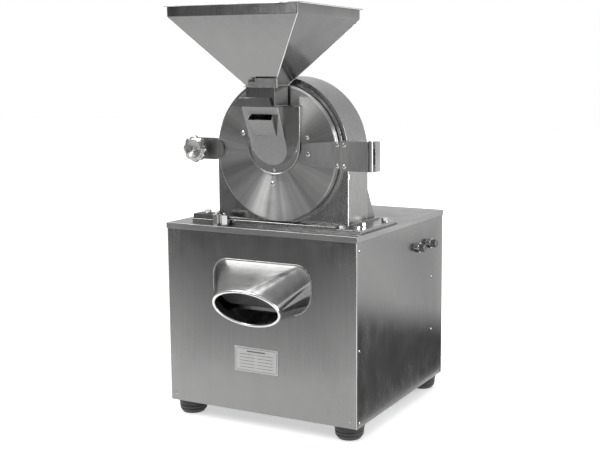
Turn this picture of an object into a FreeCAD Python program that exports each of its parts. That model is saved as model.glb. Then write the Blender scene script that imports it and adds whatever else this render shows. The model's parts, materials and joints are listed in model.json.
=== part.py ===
"""Hammer mill on a sheet-steel cabinet: a door-mounted feed hopper, a drum housing with swing
hammers and a screen, and a belt drive from a motor inside the cabinet.

Millimetres. +X is to the right seen from the front, -Y is the front, +Z is up.
The origin lies on the floor, under the middle of the cabinet.
"""
import FreeCAD, Part
import math
import os

V = FreeCAD.Vector

# ---- driving dimensions: cabinet ----
CAB_W = 600.0             # over the side panels
CAB_D = 590.0             # over the front and rear panels
CAB_TOP = 557.0           # upper face of the top plate
FOOT_H = 41.0             # rubber foot, floor to cabinet
SHEET = 2.0               # cabinet panels, chute and hopper sheet
LIP_H = 16.0              # turned-down edge of the top plate
LIP_OUT = 2.0             # how far that edge stands past the panels
ANGLE = 40.0              # angle-iron leg
ANGLE_T = 4.0
FOOT_X = 255.0
FOOT_Y = 250.0
FOOT_R = (37.0, 42.0)     # rubber foot at the floor and at its top
FOOT_ROUND = 6.0
STUD_LOW = 21.0           # lower end of a foot's stud
STUD_OUT = 14.0           # how far a stud stands above the frame
STUD_NUT = (18.0, 10.0)   # across flats, height
SCREW_R = 3.5             # pan heads of the panel screws
HEAD_OUT = 2.0
LOUVRES = 9
LOUVRE_Z = 120.0
LOUVRE_PITCH = 22.0
LOUVRE_H = 6.0
LOUVRE_HALF = 110.0
BELT_SLOT_HALF = 75.0
BELT_SLOT_GAP = 5.0
PLATE_TAG = (-80.0, 60.0, 156.0, 226.0)       # x0, x1, z0, z1 of the name plate
PLATE_TAG_T = 1.0
RIVET_R = 1.8
RIVET_INSET = 5.0

# ---- driving dimensions: discharge spout ----
SPOUT_BASE = (-144.0, 164.0, 332.0, 468.0)    # x0, x1, z0, z1 on the front panel
SPOUT_LOW_R = 60.0
SPOUT_HIGH_R = 45.0
PORT_INSET = 12.0         # the front panel's opening, inside the spout's base
DUCT_INSET = 11.0         # the duct's mouth, inside the spout's base
MOUTH = (10.0, -368.0, 357.0)                 # centre of the spout's open end
MOUTH_A = 102.0
MOUTH_B = 61.0
MOUTH_TILT = 30.0         # degrees the open end looks down
BEAD_R = 4.5

# ---- driving dimensions: push buttons ----
BUTTON_Y = (105.0, 193.0)
BUTTON_Z = 468.0
BEZEL_R = 14.5
BEZEL_OUT = 7.0
BEZEL_NECK_R = 12.5
NECK_DEPTH = 24.0
BLOCK_DEPTH = 60.0
BLOCK_HALF = (15.0, 20.0)
CAP_R = 11.8
CAP_GAP = 0.1
CAP_OUT = 23.0
CAP_ROUND = 2.0
BUTTON_TRAVEL = 4.0

# ---- driving dimensions: milling chamber ----
AXIS_X = 33.0             # spindle axis, right of the cabinet's middle
AXIS_Z = 762.0
DOOR_R = 186.0
RING_R = 195.0
DRUM_R = 205.0            # outside of the housing, also half the pedestal's width
BORE_R = 176.0
WALL = 8.0
HOUSING_FRONT = -222.0
HOUSING_BACK = -104.0
RING_T = 7.0
GASKET_T = 5.0
DOOR_FRONT = -250.0
DOOR_BACK = -234.0
FLANGE_H = 15.0           # thickness of the housing's foot flange
BASE_X = (-241.0, -150.0, 218.0, 292.0)       # left foot, flange, right foot
BASE_Y = (-256.0, -24.0)
LEFT_FOOT_T = 11.0
RIGHT_FOOT_T = 10.0
CLAMP_BAR_T = 13.0
HEX_FLATS = 17.0
HEX_H = 8.0
NUT_FLATS = 23.0
NUT_H = 34.0
BACK_WALL = 14.0
SEAL_R = 32.0             # opening round the spindle
THROAT = (-62.0, 128.0, -212.0, -128.0)       # discharge throat: x0, x1, y0, y1
GUSSET_T = 6.0
GUSSET_INSET = 14.0       # from the drum's side to the rib
GUSSET_TOP = 705.0
GUSSET_BACK = -30.0
BEARING_R = 40.0
BEARING_W = 18.0
BEARING_Y = (-94.0, 30.0)
BALL_R = 3.9
BALL_CIRCLE_R = 30.0
BALLS = 9
RACE_T = 6.0
SPINDLE_HOUSE_R = 55.0
SPINDLE_FLANGE_R = 75.0
SPINDLE_HOUSE_Y = (HOUSING_BACK, 60.0)

# ---- driving dimensions: rotor ----
SHAFT_R = 20.0
ROTOR_DISC_R = 110.0
PIN_CIRCLE_R = 85.0
PIN_R = 6.0
HAMMER_REACH = 52.0       # pin centre to hammer tip
HAMMER_HALF = 15.0
HAMMER_SLOTS = ((-193.5, -181.5), (-174.0, -162.0), (-154.5, -142.5))
ROTOR_DISC_Y = ((-203.0, -195.0), (-141.0, -133.0))
SPINDLE_Y = (-203.0, 124.0)
NOSE_R = 12.0
NOSE_Y = -218.0
HUB_R = 26.0
SLEEVE_R = 28.0
PIN_HEAD_R = 9.0
PIN_HEAD_T = 3.0
SCREEN_R = 150.0
SCREEN_Y = (-212.0, -126.0)
SCREEN_SLOTS = 36
SLOT_HALF = 4.0
LINER_Y = (-214.0, -124.0)
LINER_R = 160.0
LINER_GROOVES = 15
GROOVE_STEP = 11.0        # degrees from groove to groove
GROOVE_DEPTH = 2.0

# ---- driving dimensions: feed side ----
CHUTE_R = 55.0            # half width of the chute, and radius of its round end
CHUTE_Z = 785.0           # centre of the round end
CHUTE_TOP = 888.0
CHUTE_TOP_Y = -330.0      # front face of the chute at its top
CHUTE_END_Y = -264.0      # front face where the round end runs out
NECK_X = 44.0             # half width of the square neck
NECK_Y = (-325.0, -257.0)
NECK_TOP = 944.0
HOPPER_X = 192.0          # half width of the hopper mouth
HOPPER_Y = (-458.0, -126.0)
RIM_Z = 1118.0
HOPPER_TOP = 1146.0
RIM_LIP = 7.0
GATE_Z = 940.0
GATE_HALF = 40.0
GATE_T = 2.0
GRIP_Y = -342.0
DOOR_CHAMFER = 3.0
FEED_HALF = 45.0          # half width of the door's feed opening
FEED_TOP = 850.0
FLANGE_T = 8.0            # chute flange on the door's face
FLANGE_R = 81.0
FLANGE_RIM = (3.0, 4.0)   # width and height of its raised edge
SCOOP_X = (4.0, 64.0)
SCOOP_Z = (811.0, 868.0)
SCOOP_TIP = (-334.0, 854.0)                   # y, z of its upper front edge
SCOOP_SHEET = 1.5
LID_T = 3.0
HOPPER_SHEET = 2.6
STATOR_R = (152.0, 166.0)
STATOR_Y = (-228.0, -218.0)
STATOR_TEETH = 24
TOOTH_HALF = 4.0

# ---- driving dimensions: hinge, clamp and drive ----
HINGE = (322.0, -258.0)
BARREL_R = 7.0
HINGE_PIN_R = 3.5
ARM_Z = (723.0, 801.0)
ARM_T = 8.0
ARM_Y = DOOR_FRONT - ARM_T                    # front face of the tapered arm
KNUCKLE_Z = (742.0, 782.0)                    # the door's middle knuckle
SHOE_Z = (728.0, 798.0)
SHOE_T = 8.0
LEAF_X = (330.0, 334.0)
CLAMP_X = -204.0
CLAMP_Z = 768.0
CLAMP_TRAVEL = 8.75       # five turns of an M12 thread
BOLT_R = 6.0
KNOB_R = 38.0
KNOB_T = 28.0
KNOB_LOBES = 8
LOBE_R = 9.0
KNOB_HUB_R = 17.0
LUG_T = 8.0
LUG_HALF = 30.0
BOSS_HALF = 20.0
BOSS_X = (-224.0, -160.0)
WASHER_T = 3.0
WASHER_R = 13.0
MOTOR_Z = 165.0
MOTOR_R = 95.0
PULLEY_Y = (75.0, 117.0)
SPINDLE_PULLEY_R = 45.0
MOTOR_PULLEY_R = 68.0
BELT_W = 8.0
GUARD_R = 76.0
GUARD_Y = (64.0, 128.0)
MOTOR_Y = (-225.0, 50.0)
MOTOR_BORE_R = 62.0
MOTOR_CORE_R = 60.0
MOTOR_SHAFT_R = 15.0
MOTOR_FINS = 16
MOTOR_PLATE_T = 8.0
MOTOR_FOOT_T = 12.0
MOTOR_FOOT_Y = (-150.0, 0.0)
EPS = 0.3                 # gap between parts that move past each other
FIT = 0.05                # radial clearance of a running fit
KNOB_BACK = DOOR_FRONT - LUG_T - EPS - CLAMP_TRAVEL - WASHER_T

# ---- faces that several parts share ----
FRAME_X = CAB_W / 2 - SHEET
FRAME_Y = CAB_D / 2 - SHEET
PLATE_UNDER = CAB_TOP - SHEET
PANEL_Y = -CAB_D / 2
FLANGE_Z = CAB_TOP + FLANGE_H
DRUM_SIDE = AXIS_X + DRUM_R
LID_TOP = CHUTE_TOP + LID_T
MOTOR_FOOT_Z = FOOT_H + ANGLE_T + MOTOR_PLATE_T
CHUTE_SLOPE = (CHUTE_TOP_Y - CHUTE_END_Y) / (CHUTE_TOP - (CHUTE_Z - CHUTE_R))

X, Y, Z = V(1, 0, 0), V(0, 1, 0), V(0, 0, 1)
MOUTH_CENTRE = V(*MOUTH)
MOUTH_UP = V(0, -math.sin(math.radians(MOUTH_TILT)), math.cos(math.radians(MOUTH_TILT)))
MOUTH_OUT = V(0, -math.cos(math.radians(MOUTH_TILT)), -math.sin(math.radians(MOUTH_TILT)))


def box(x0, x1, y0, y1, z0, z1):
    return Part.makeBox(x1 - x0, y1 - y0, z1 - z0, V(x0, y0, z0))


def rod(radius, start, direction, length):
    return Part.makeCylinder(radius, length, V(*start), direction)


def tube(outer, inner, start, direction, length):
    return rod(outer, start, direction, length).cut(rod(inner, start, direction, length))


def fuse(shapes):
    joined = shapes[0]
    for shape in shapes[1:]:
        joined = joined.fuse(shape)
    return joined.removeSplitter()


def prism(points, vector):
    """A flat outline of (x, y, z) points pushed along a vector."""
    corners = [V(*p) for p in points]
    return Part.Face(Part.makePolygon(corners + corners[:1])).extrude(vector)


def hex_prism(flats, start, height):
    """An upright hexagon bar with its across-flats size."""
    r = flats / math.sqrt(3)
    x, y, z = start
    outline = [(x + r * math.cos(math.radians(60 * i)), y + r * math.sin(math.radians(60 * i)), z)
               for i in range(6)]
    return prism(outline, V(0, 0, height))


def mirror_about(shape, x):
    return shape.mirror(V(x, 0, 0), X)


def arch(radius, foot_z, y0, y1):
    """The housing's outline: straight sides up to the spindle height, then a half circle."""
    block = box(AXIS_X - radius, AXIS_X + radius, y0, y1, foot_z, AXIS_Z)
    above_foot = box(AXIS_X - radius, AXIS_X + radius, y0, y1, foot_z, AXIS_Z + radius)
    return block.fuse(rod(radius, (AXIS_X, y0, AXIS_Z), Y, y1 - y0).common(above_foot))


def u_block(radius, y0, y1, top):
    """The chute's outline: a round lower end with straight sides above it."""
    block = box(AXIS_X - radius, AXIS_X + radius, y0, y1, CHUTE_Z, top)
    return block.fuse(rod(radius, (AXIS_X, y0, CHUTE_Z), Y, y1 - y0))


def save(name, shapes):
    if not isinstance(shapes, (list, tuple)):
        shapes = [shapes]
    whole = shapes[0] if len(shapes) == 1 else Part.makeCompound(shapes)
    bad = [s for s in shapes if not s.isValid() or not s.Solids]
    if bad:
        print("BAD", name)
    whole.exportStep("parts/" + name + ".step")
    count = len(whole.Solids)
    print(f"{name:22s} solids {count:3d}  volume {whole.Volume / 1000:10.1f} cm3")


# ---------------------------------------------------------------- cabinet

def angle_ring(z_leg, z_flange):
    """A rectangle of angle iron: one leg upright outside, one leg lying flat."""
    z0, z1 = min(z_leg + z_flange), max(z_leg + z_flange)
    ring = box(-FRAME_X, FRAME_X, -FRAME_Y, FRAME_Y, z0, z1)
    ring = ring.cut(box(-FRAME_X + ANGLE_T, FRAME_X - ANGLE_T, -FRAME_Y + ANGLE_T,
                        FRAME_Y - ANGLE_T, *z_leg))
    return ring.cut(box(-FRAME_X + ANGLE, FRAME_X - ANGLE, -FRAME_Y + ANGLE, FRAME_Y - ANGLE,
                        *z_flange))


def cabinet_frame():
    low = angle_ring((FOOT_H + ANGLE_T, FOOT_H + ANGLE), (FOOT_H, FOOT_H + ANGLE_T))
    high = angle_ring((PLATE_UNDER - ANGLE, PLATE_UNDER - ANGLE_T),
                      (PLATE_UNDER - ANGLE_T, PLATE_UNDER))
    parts = [low, high]
    for sx in (-1, 1):
        for sy in (-1, 1):
            xs = sorted((sx * FRAME_X, sx * (FRAME_X - ANGLE)))
            ys = sorted((sy * FRAME_Y, sy * (FRAME_Y - ANGLE_T)))
            parts.append(box(*xs, *ys, FOOT_H + ANGLE, PLATE_UNDER - ANGLE))
            xs = sorted((sx * FRAME_X, sx * (FRAME_X - ANGLE_T)))
            ys = sorted((sy * FRAME_Y, sy * (FRAME_Y - ANGLE)))
            parts.append(box(*xs, *ys, FOOT_H + ANGLE, PLATE_UNDER - ANGLE))
    frame = fuse(parts)
    for x, y in foot_places():
        frame = frame.cut(rod(BOLT_R, (x, y, FOOT_H), Z, ANGLE_T))
    return frame


def foot_places():
    return [(sx * FOOT_X, sy * FOOT_Y) for sx in (-1, 1) for sy in (-1, 1)]


def rubber_feet():
    feet = []
    for x, y in foot_places():
        foot = Part.makeCone(*FOOT_R, FOOT_H, V(x, y, 0))
        floor_edge = [e for e in foot.Edges if e.BoundBox.ZMax < 1 and e.Closed]
        foot = foot.makeFillet(FOOT_ROUND, floor_edge)
        feet.append(foot.cut(rod(BOLT_R, (x, y, STUD_LOW), Z, FOOT_H)))
    return feet


def foot_studs():
    studs = []
    nut_z = FOOT_H + ANGLE_T
    for x, y in foot_places():
        stud = rod(BOLT_R, (x, y, STUD_LOW), Z, nut_z + STUD_OUT - STUD_LOW)
        flats, height = STUD_NUT
        studs.append(stud.fuse(hex_prism(flats, (x, y, nut_z), height)))
    return studs


def rounded_edges(x0, x1, z0, z1, low_r, high_r, y):
    """Corner arcs of an oblong in a plane of constant y, anticlockwise from the lower right."""
    centres = [(x1 - low_r, z0 + low_r, low_r, 270), (x1 - high_r, z1 - high_r, high_r, 0),
               (x0 + high_r, z1 - high_r, high_r, 90), (x0 + low_r, z0 + low_r, low_r, 180)]
    arcs = []
    for x, z, r, start in centres:
        turns = [math.radians(start + a) for a in (0, 45, 90)]
        arcs.append([V(x + r * math.cos(a), y, z + r * math.sin(a)) for a in turns])
    return arcs


def rounded_face(x0, x1, z0, z1, low_r, high_r, y):
    arcs = rounded_edges(x0, x1, z0, z1, low_r, high_r, y)
    edges = []
    for i, points in enumerate(arcs):
        edges.append(Part.Arc(*points).toShape())
        edges.append(Part.makeLine(points[2], arcs[(i + 1) % 4][0]))
    return Part.Face(Part.Wire(edges))


def mouth_ellipse(inset):
    a, b = MOUTH_A - inset, MOUTH_B - inset
    return Part.Ellipse(MOUTH_CENTRE + X * a, MOUTH_CENTRE + MOUTH_UP * b, MOUTH_CENTRE)


def spout_body(inset):
    """Square-to-round transition: flat triangles on the base's straight edges, cones on its corners."""
    x0, x1, z0, z1 = SPOUT_BASE
    arcs = rounded_edges(x0 + inset, x1 - inset, z0 + inset, z1 - inset,
                         SPOUT_LOW_R - inset, SPOUT_HIGH_R - inset, PANEL_Y)
    ellipse = mouth_ellipse(inset)
    quarter = math.pi / 2
    faces = []
    for i, points in enumerate(arcs):
        start = (i - 1) * quarter
        rim = Part.Edge(ellipse, start, start + quarter)
        faces.append(Part.makeRuledSurface(Part.Arc(*points).toShape(), rim))
        tip = ellipse.value(start + quarter)
        flat = Part.makePolygon([points[2], arcs[(i + 1) % 4][0], tip, points[2]])
        faces.append(Part.Face(flat))
    faces.append(rounded_face(x0 + inset, x1 - inset, z0 + inset, z1 - inset,
                              SPOUT_LOW_R - inset, SPOUT_HIGH_R - inset, PANEL_Y))
    faces.append(Part.Face(Part.Wire([ellipse.toShape()])))
    shell = Part.makeShell(faces)
    shell.sewShape()
    return Part.makeSolid(shell)


def spout():
    """Sheet transition with a rolled bead round its mouth."""
    shell = spout_body(0.0).cut(spout_body(SHEET))
    centre = MOUTH_CENTRE + MOUTH_OUT * BEAD_R
    a, b = MOUTH_A - 1, MOUTH_B - 1
    path = Part.Wire([Part.Ellipse(centre + X * a, centre + MOUTH_UP * b, centre).toShape()])
    section = Part.Wire([Part.Circle(centre + X * a, MOUTH_UP, BEAD_R + 0.3).toShape()])
    return shell.fuse(path.makePipeShell([section], True, False))


def panels():
    z0, z1 = FOOT_H, PLATE_UNDER
    x, y = CAB_W / 2, CAB_D / 2
    x0, x1, b0, b1 = SPOUT_BASE
    hole = rounded_face(x0 + PORT_INSET, x1 - PORT_INSET, b0 + PORT_INSET, b1 - PORT_INSET,
                        SPOUT_LOW_R - PORT_INSET, SPOUT_HIGH_R - PORT_INSET, -y - 1)
    front = box(-x + SHEET, x - SHEET, -y, -y + SHEET, z0, z1)
    front = front.cut(hole.extrude(V(0, SHEET + 2, 0)))
    rear = box(-x + SHEET, x - SHEET, y - SHEET, y, z0, z1)
    for row in range(LOUVRES):
        low = LOUVRE_Z + row * LOUVRE_PITCH
        rear = rear.cut(box(-LOUVRE_HALF, LOUVRE_HALF, y - SHEET - 1, y + 1, low, low + LOUVRE_H))
    left = box(-x, -x + SHEET, -y, y, z0, z1)
    right = box(x - SHEET, x, -y, y, z0, z1)
    for button_y in BUTTON_Y:
        right = right.cut(rod(BEZEL_NECK_R, (x - SHEET - 1, button_y, BUTTON_Z), X, SHEET + 2))
    return {"front_panel": front, "rear_panel": rear, "left_panel": left, "right_panel": right}


def top_plate():
    x, y = CAB_W / 2 + LIP_OUT, CAB_D / 2 + LIP_OUT
    plate = box(-x, x, -y, y, CAB_TOP - LIP_H, CAB_TOP)
    inner = LIP_OUT - EPS
    plate = plate.cut(box(-x + inner, x - inner, -y + inner, y - inner, CAB_TOP - LIP_H, PLATE_UNDER))
    plate = plate.cut(box(*THROAT, PLATE_UNDER - 1, CAB_TOP + 1))
    return plate.cut(box(AXIS_X - BELT_SLOT_HALF, AXIS_X + BELT_SLOT_HALF, PULLEY_Y[0] - BELT_SLOT_GAP,
                         PULLEY_Y[1] + BELT_SLOT_GAP, PLATE_UNDER - 1, CAB_TOP + 1))


def panel_screws():
    """Pan-head screws of the side panels and the front and rear panels."""
    screws = []
    x, y = CAB_W / 2, CAB_D / 2
    side = [(-y + 14, z) for z in (55, 251, 518)] + [(208, z) for z in (200, 364)]
    side += [(y - 5, 48), (y - 4, 87)]
    for py, z in side:
        screws.append(rod(SCREW_R, (x, py, z), X, HEAD_OUT))
        screws.append(rod(SCREW_R, (-x - HEAD_OUT, py, z), X, HEAD_OUT))
    for px in (-x + 20, x - 20):
        screws.append(rod(SCREW_R, (px, -y - HEAD_OUT, 61), Y, HEAD_OUT))
        for z in (61, 518):
            screws.append(rod(SCREW_R, (px, y, z), Y, HEAD_OUT))
    return screws


def name_plate():
    x0, x1, z0, z1 = PLATE_TAG
    return box(x0, x1, PANEL_Y - PLATE_TAG_T, PANEL_Y, z0, z1)


def plate_rivets():
    x0, x1, z0, z1 = PLATE_TAG
    front = PANEL_Y - 2 * PLATE_TAG_T
    return [rod(RIVET_R, (x, front, z), Y, PLATE_TAG_T) for x in (x0 + RIVET_INSET, x1 - RIVET_INSET)
            for z in (z0 + RIVET_INSET, z1 - RIVET_INSET)]


# ---------------------------------------------------------------- push buttons

def button_bezel(y):
    """Chromed ring, threaded neck and contact block of one push button."""
    face = CAB_W / 2
    bore = CAP_R + CAP_GAP
    bezel = tube(BEZEL_R, bore, (face, y, BUTTON_Z), X, BEZEL_OUT)
    neck = tube(BEZEL_NECK_R, bore, (face - NECK_DEPTH, y, BUTTON_Z), X, NECK_DEPTH)
    half_y, half_z = BLOCK_HALF
    block = box(face - BLOCK_DEPTH, face - NECK_DEPTH, y - half_y, y + half_y, BUTTON_Z - half_z,
                BUTTON_Z + half_z)
    return fuse([bezel, neck, block])


def button_cap(y):
    length = CAP_OUT + NECK_DEPTH - BUTTON_TRAVEL - 1
    cap = rod(CAP_R, (CAB_W / 2 + CAP_OUT - length, y, BUTTON_Z), X, length)
    edge = [e for e in cap.Edges if e.Closed and e.BoundBox.XMin > CAB_W / 2 + CAP_OUT - 1]
    return cap.makeFillet(CAP_ROUND, edge)


# ---------------------------------------------------------------- housing

def base_plate():
    """Foot flange of the housing, a pad under its whole footprint and a thinner foot on each side."""
    x0, x1, x2, x3 = BASE_X
    left = box(x0, x1, *BASE_Y, CAB_TOP, CAB_TOP + LEFT_FOOT_T)
    middle = box(x1, x2, *BASE_Y, CAB_TOP, FLANGE_Z)
    right = box(x2, x3, *BASE_Y, CAB_TOP, CAB_TOP + RIGHT_FOOT_T)
    pad = box(AXIS_X - DRUM_R, DRUM_SIDE, HOUSING_FRONT, GUSSET_BACK, CAB_TOP, FLANGE_Z)
    plate = fuse([left, middle, right, pad])
    return plate.cut(box(*THROAT, CAB_TOP - 1, FLANGE_Z + 1))


def clamp_bar():
    low = CAB_TOP + LEFT_FOOT_T
    return box(-240, -174, -252, -206, low, low + CLAMP_BAR_T)


def base_bolts():
    """Hexagon screws of the feet, and two tall nuts that clamp the flange's front edge."""
    bolts = []
    places = [(x, y, RIGHT_FOOT_T) for x, y in ((228, -243), (273, -243), (258, -180), (274, -70))]
    places += [(-214, y, LEFT_FOOT_T) for y in (-150, -60)]
    places.append((-206, -229, LEFT_FOOT_T + CLAMP_BAR_T))
    for x, y, z in places:
        head = hex_prism(HEX_FLATS, (x, y, CAB_TOP + z + 2), HEX_H)
        bolts.append(head.fuse(rod(10, (x, y, CAB_TOP + z), Z, 2)))
    for x in (-148, -122):
        bolts.append(hex_prism(NUT_FLATS, (x, BASE_Y[0] - 13.5, CAB_TOP), NUT_H))
    return bolts


def housing():
    """Pedestal and drum in one: front and rear walls, outer skin, bore wall and discharge throat."""
    body = arch(DRUM_R, FLANGE_Z, HOUSING_FRONT, HOUSING_BACK)
    bore_depth = HOUSING_BACK - BACK_WALL - HOUSING_FRONT
    pocket = arch(DRUM_R - WALL, FLANGE_Z, HOUSING_FRONT + WALL, HOUSING_BACK - BACK_WALL)
    pocket = pocket.cut(rod(BORE_R + WALL, (AXIS_X, HOUSING_FRONT, AXIS_Z), Y, bore_depth))
    x0, x1 = THROAT[:2]
    pocket = pocket.cut(box(x0 - WALL, x1 + WALL, HOUSING_FRONT, HOUSING_BACK, FLANGE_Z - 1, AXIS_Z))
    pocket = pocket.cut(box(AXIS_X - 300, AXIS_X + 300, HOUSING_FRONT, HOUSING_BACK, AXIS_Z, 1200))
    body = body.cut(pocket)
    body = body.cut(rod(BORE_R, (AXIS_X, HOUSING_FRONT - 1, AXIS_Z), Y, bore_depth + 1))
    body = body.cut(box(*THROAT, FLANGE_Z - 1, AXIS_Z - 100))
    body = body.cut(rod(SEAL_R, (AXIS_X, HOUSING_BACK - BACK_WALL - 1, AXIS_Z), Y, BACK_WALL + 2))
    return body.fuse(gussets()).removeSplitter()


def housing_ring():
    ring = tube(RING_R, BORE_R, (AXIS_X, HOUSING_FRONT - RING_T, AXIS_Z), Y, RING_T)
    return ring.common(box(-400, 400, -400, 0, FLANGE_Z, 1200))


def gussets():
    """Triangular ribs behind the two straight sides."""
    x = DRUM_SIDE - GUSSET_INSET - GUSSET_T
    outline = [(x, HOUSING_BACK, GUSSET_TOP), (x, HOUSING_BACK, FLANGE_Z), (x, GUSSET_BACK, FLANGE_Z),
               (x, GUSSET_BACK - 6, FLANGE_Z + 12)]
    right = prism(outline, V(GUSSET_T, 0, 0))
    return [right, mirror_about(right, AXIS_X)]


def screen():
    """Perforated ring round the hammers: rows of slots between two plain edges."""
    y0, y1 = SCREEN_Y
    ring = tube(SCREEN_R + SHEET, SCREEN_R, (AXIS_X, y0, AXIS_Z), Y, y1 - y0)
    slots = []
    for i in range(SCREEN_SLOTS):
        slot = box(AXIS_X - SLOT_HALF, AXIS_X + SLOT_HALF, y0 + 10, y1 - 10, AXIS_Z + SCREEN_R - 4,
                   AXIS_Z + SCREEN_R + 6)
        slot.rotate(V(AXIS_X, 0, AXIS_Z), Y, 360.0 * i / SCREEN_SLOTS)
        slots.append(slot)
    return ring.cut(slots)


def tooth_liner():
    """Ridged breaker plate over the upper part of the bore."""
    y0, y1 = LINER_Y
    liner = tube(BORE_R - EPS, LINER_R, (AXIS_X, y0, AXIS_Z), Y, y1 - y0)
    liner = liner.common(box(-400, 400, -400, 0, AXIS_Z + 20, 1200))
    grooves = []
    for i in range(LINER_GROOVES):
        groove = box(AXIS_X - SLOT_HALF, AXIS_X + SLOT_HALF, y0, y1, AXIS_Z + LINER_R - GROOVE_DEPTH,
                     AXIS_Z + LINER_R + 5)
        groove.rotate(V(AXIS_X, 0, AXIS_Z), Y, GROOVE_STEP * (i - (LINER_GROOVES - 1) / 2))
        grooves.append(groove)
    return liner.cut(grooves)


# ---------------------------------------------------------------- spindle and rotor

def spindle_axis(y):
    return (AXIS_X, y, AXIS_Z)


def bearing_housing():
    y0, y1 = SPINDLE_HOUSE_Y
    body = rod(SPINDLE_HOUSE_R, spindle_axis(y0), Y, y1 - y0)
    flange = rod(SPINDLE_FLANGE_R, spindle_axis(y0), Y, 10)
    web = box(AXIS_X - 30, AXIS_X + 30, y0 + 10, y1 - 20, FLANGE_Z, AXIS_Z)
    shoe = box(AXIS_X - 60, AXIS_X + 60, -20, y1, CAB_TOP, FLANGE_Z)
    whole = fuse([body, flange, web, shoe])
    whole = whole.cut(rod(SEAL_R, spindle_axis(y0), Y, y1 - y0))
    whole = whole.cut(rod(BEARING_R, spindle_axis(y0), Y, BEARING_Y[0] + BEARING_W - y0))
    return whole.cut(rod(BEARING_R, spindle_axis(BEARING_Y[1]), Y, y1 - BEARING_Y[1]))


def bearing_outer_rings():
    return [tube(BEARING_R, BEARING_R - RACE_T, spindle_axis(y), Y, BEARING_W) for y in BEARING_Y]


def bearing_inner_rings():
    """Inner rings with their balls, which turn with the spindle."""
    parts = [tube(SHAFT_R + RACE_T, SHAFT_R, spindle_axis(y + EPS), Y, BEARING_W - 2 * EPS)
             for y in BEARING_Y]
    for y in BEARING_Y:
        for i in range(BALLS):
            a = 2 * math.pi * i / BALLS
            centre = V(AXIS_X + BALL_CIRCLE_R * math.cos(a), y + BEARING_W / 2,
                       AXIS_Z + BALL_CIRCLE_R * math.sin(a))
            parts.append(Part.makeSphere(BALL_R, centre))
    return parts


def bearing_covers():
    """Seal carrier in the front bore and a bolted cap on the rear bore."""
    y1 = SPINDLE_HOUSE_Y[1]
    seat = BEARING_Y[1] + BEARING_W
    front = tube(BEARING_R, SHAFT_R + 0.2, spindle_axis(HOUSING_BACK), Y, BEARING_Y[0] - HOUSING_BACK)
    rear = tube(52, SHAFT_R + 0.2, spindle_axis(y1), Y, 6)
    spigot = tube(BEARING_R, BEARING_R - RACE_T, spindle_axis(seat), Y, y1 - seat)
    return [front, rear.fuse(spigot)]


def spindle():
    shaft = rod(SHAFT_R, spindle_axis(SPINDLE_Y[0]), Y, SPINDLE_Y[1] - SPINDLE_Y[0])
    return shaft.fuse(rod(NOSE_R, spindle_axis(NOSE_Y), Y, SPINDLE_Y[0] - NOSE_Y))


def pin_places():
    return [(AXIS_X + PIN_CIRCLE_R * math.cos(math.radians(a)),
             AXIS_Z + PIN_CIRCLE_R * math.sin(math.radians(a))) for a in (45, 135, 225, 315)]


def rotor_discs():
    discs = []
    for y0, y1 in ROTOR_DISC_Y:
        disc = tube(ROTOR_DISC_R, SHAFT_R, spindle_axis(y0), Y, y1 - y0)
        for x, z in pin_places():
            disc = disc.cut(rod(PIN_R, (x, y0, z), Y, y1 - y0))
        discs.append(disc)
    return discs


def rotor_hub():
    """Distance sleeve between the discs, a collar behind them and the nut that clamps them."""
    (_, first), (second, last) = ROTOR_DISC_Y
    sleeve = tube(SLEEVE_R, SHAFT_R, spindle_axis(first), Y, second - first)
    collar = tube(HUB_R, SHAFT_R, spindle_axis(last), Y, 7)
    nut = tube(HUB_R, NOSE_R, spindle_axis(SPINDLE_Y[0] - 10), Y, 10)
    return [sleeve, collar, nut]


def hammer_pins():
    pins = []
    front = ROTOR_DISC_Y[0][0] - PIN_HEAD_T
    back = ROTOR_DISC_Y[1][1]
    for x, z in pin_places():
        pin = rod(PIN_R, (x, front, z), Y, back + PIN_HEAD_T - front)
        heads = [rod(PIN_HEAD_R, (x, y, z), Y, PIN_HEAD_T) for y in (front, back)]
        pins.append(fuse([pin] + heads))
    return pins


def hammer_group(x, z):
    """Three loose hammers on one pin, hanging straight down."""
    group = []
    for y0, y1 in HAMMER_SLOTS:
        bar = box(x - HAMMER_HALF, x + HAMMER_HALF, y0, y1, z - HAMMER_REACH, z)
        head = rod(HAMMER_HALF, (x, y0, z), Y, y1 - y0)
        group.append(fuse([bar, head]).cut(rod(PIN_R + FIT, (x, y0, z), Y, y1 - y0)))
    return group


def pulley(radius, bore, x, z):
    """Two-groove V-belt pulley, turned from its half section."""
    y0, y1 = PULLEY_Y
    root = radius - 11
    outline = [(bore, y0), (radius, y0)]
    for centre in (y0 + 11, y1 - 11):
        outline += [(radius, centre - 6.5), (root, centre - 4.6), (root, centre + 4.6),
                    (radius, centre + 6.5)]
    outline += [(radius, y1), (bore, y1)]
    corners = [V(x + r, y, z) for r, y in outline]
    section = Part.Face(Part.makePolygon(corners + corners[:1]))
    return section.revolve(V(x, 0, z), Y, 360)


def belts():
    """Two V-belts round both pulleys, as closed bands."""
    bands = []
    for centre in (PULLEY_Y[0] + 11, PULLEY_Y[1] - 11):
        y = centre - BELT_W / 2
        outer = belt_outline(SPINDLE_PULLEY_R - 0.5, MOTOR_PULLEY_R - 0.5, y)
        inner = belt_outline(SPINDLE_PULLEY_R - 8.5, MOTOR_PULLEY_R - 8.5, y)
        bands.append(outer.extrude(Y * BELT_W).cut(inner.extrude(Y * BELT_W)))
    return bands


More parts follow.
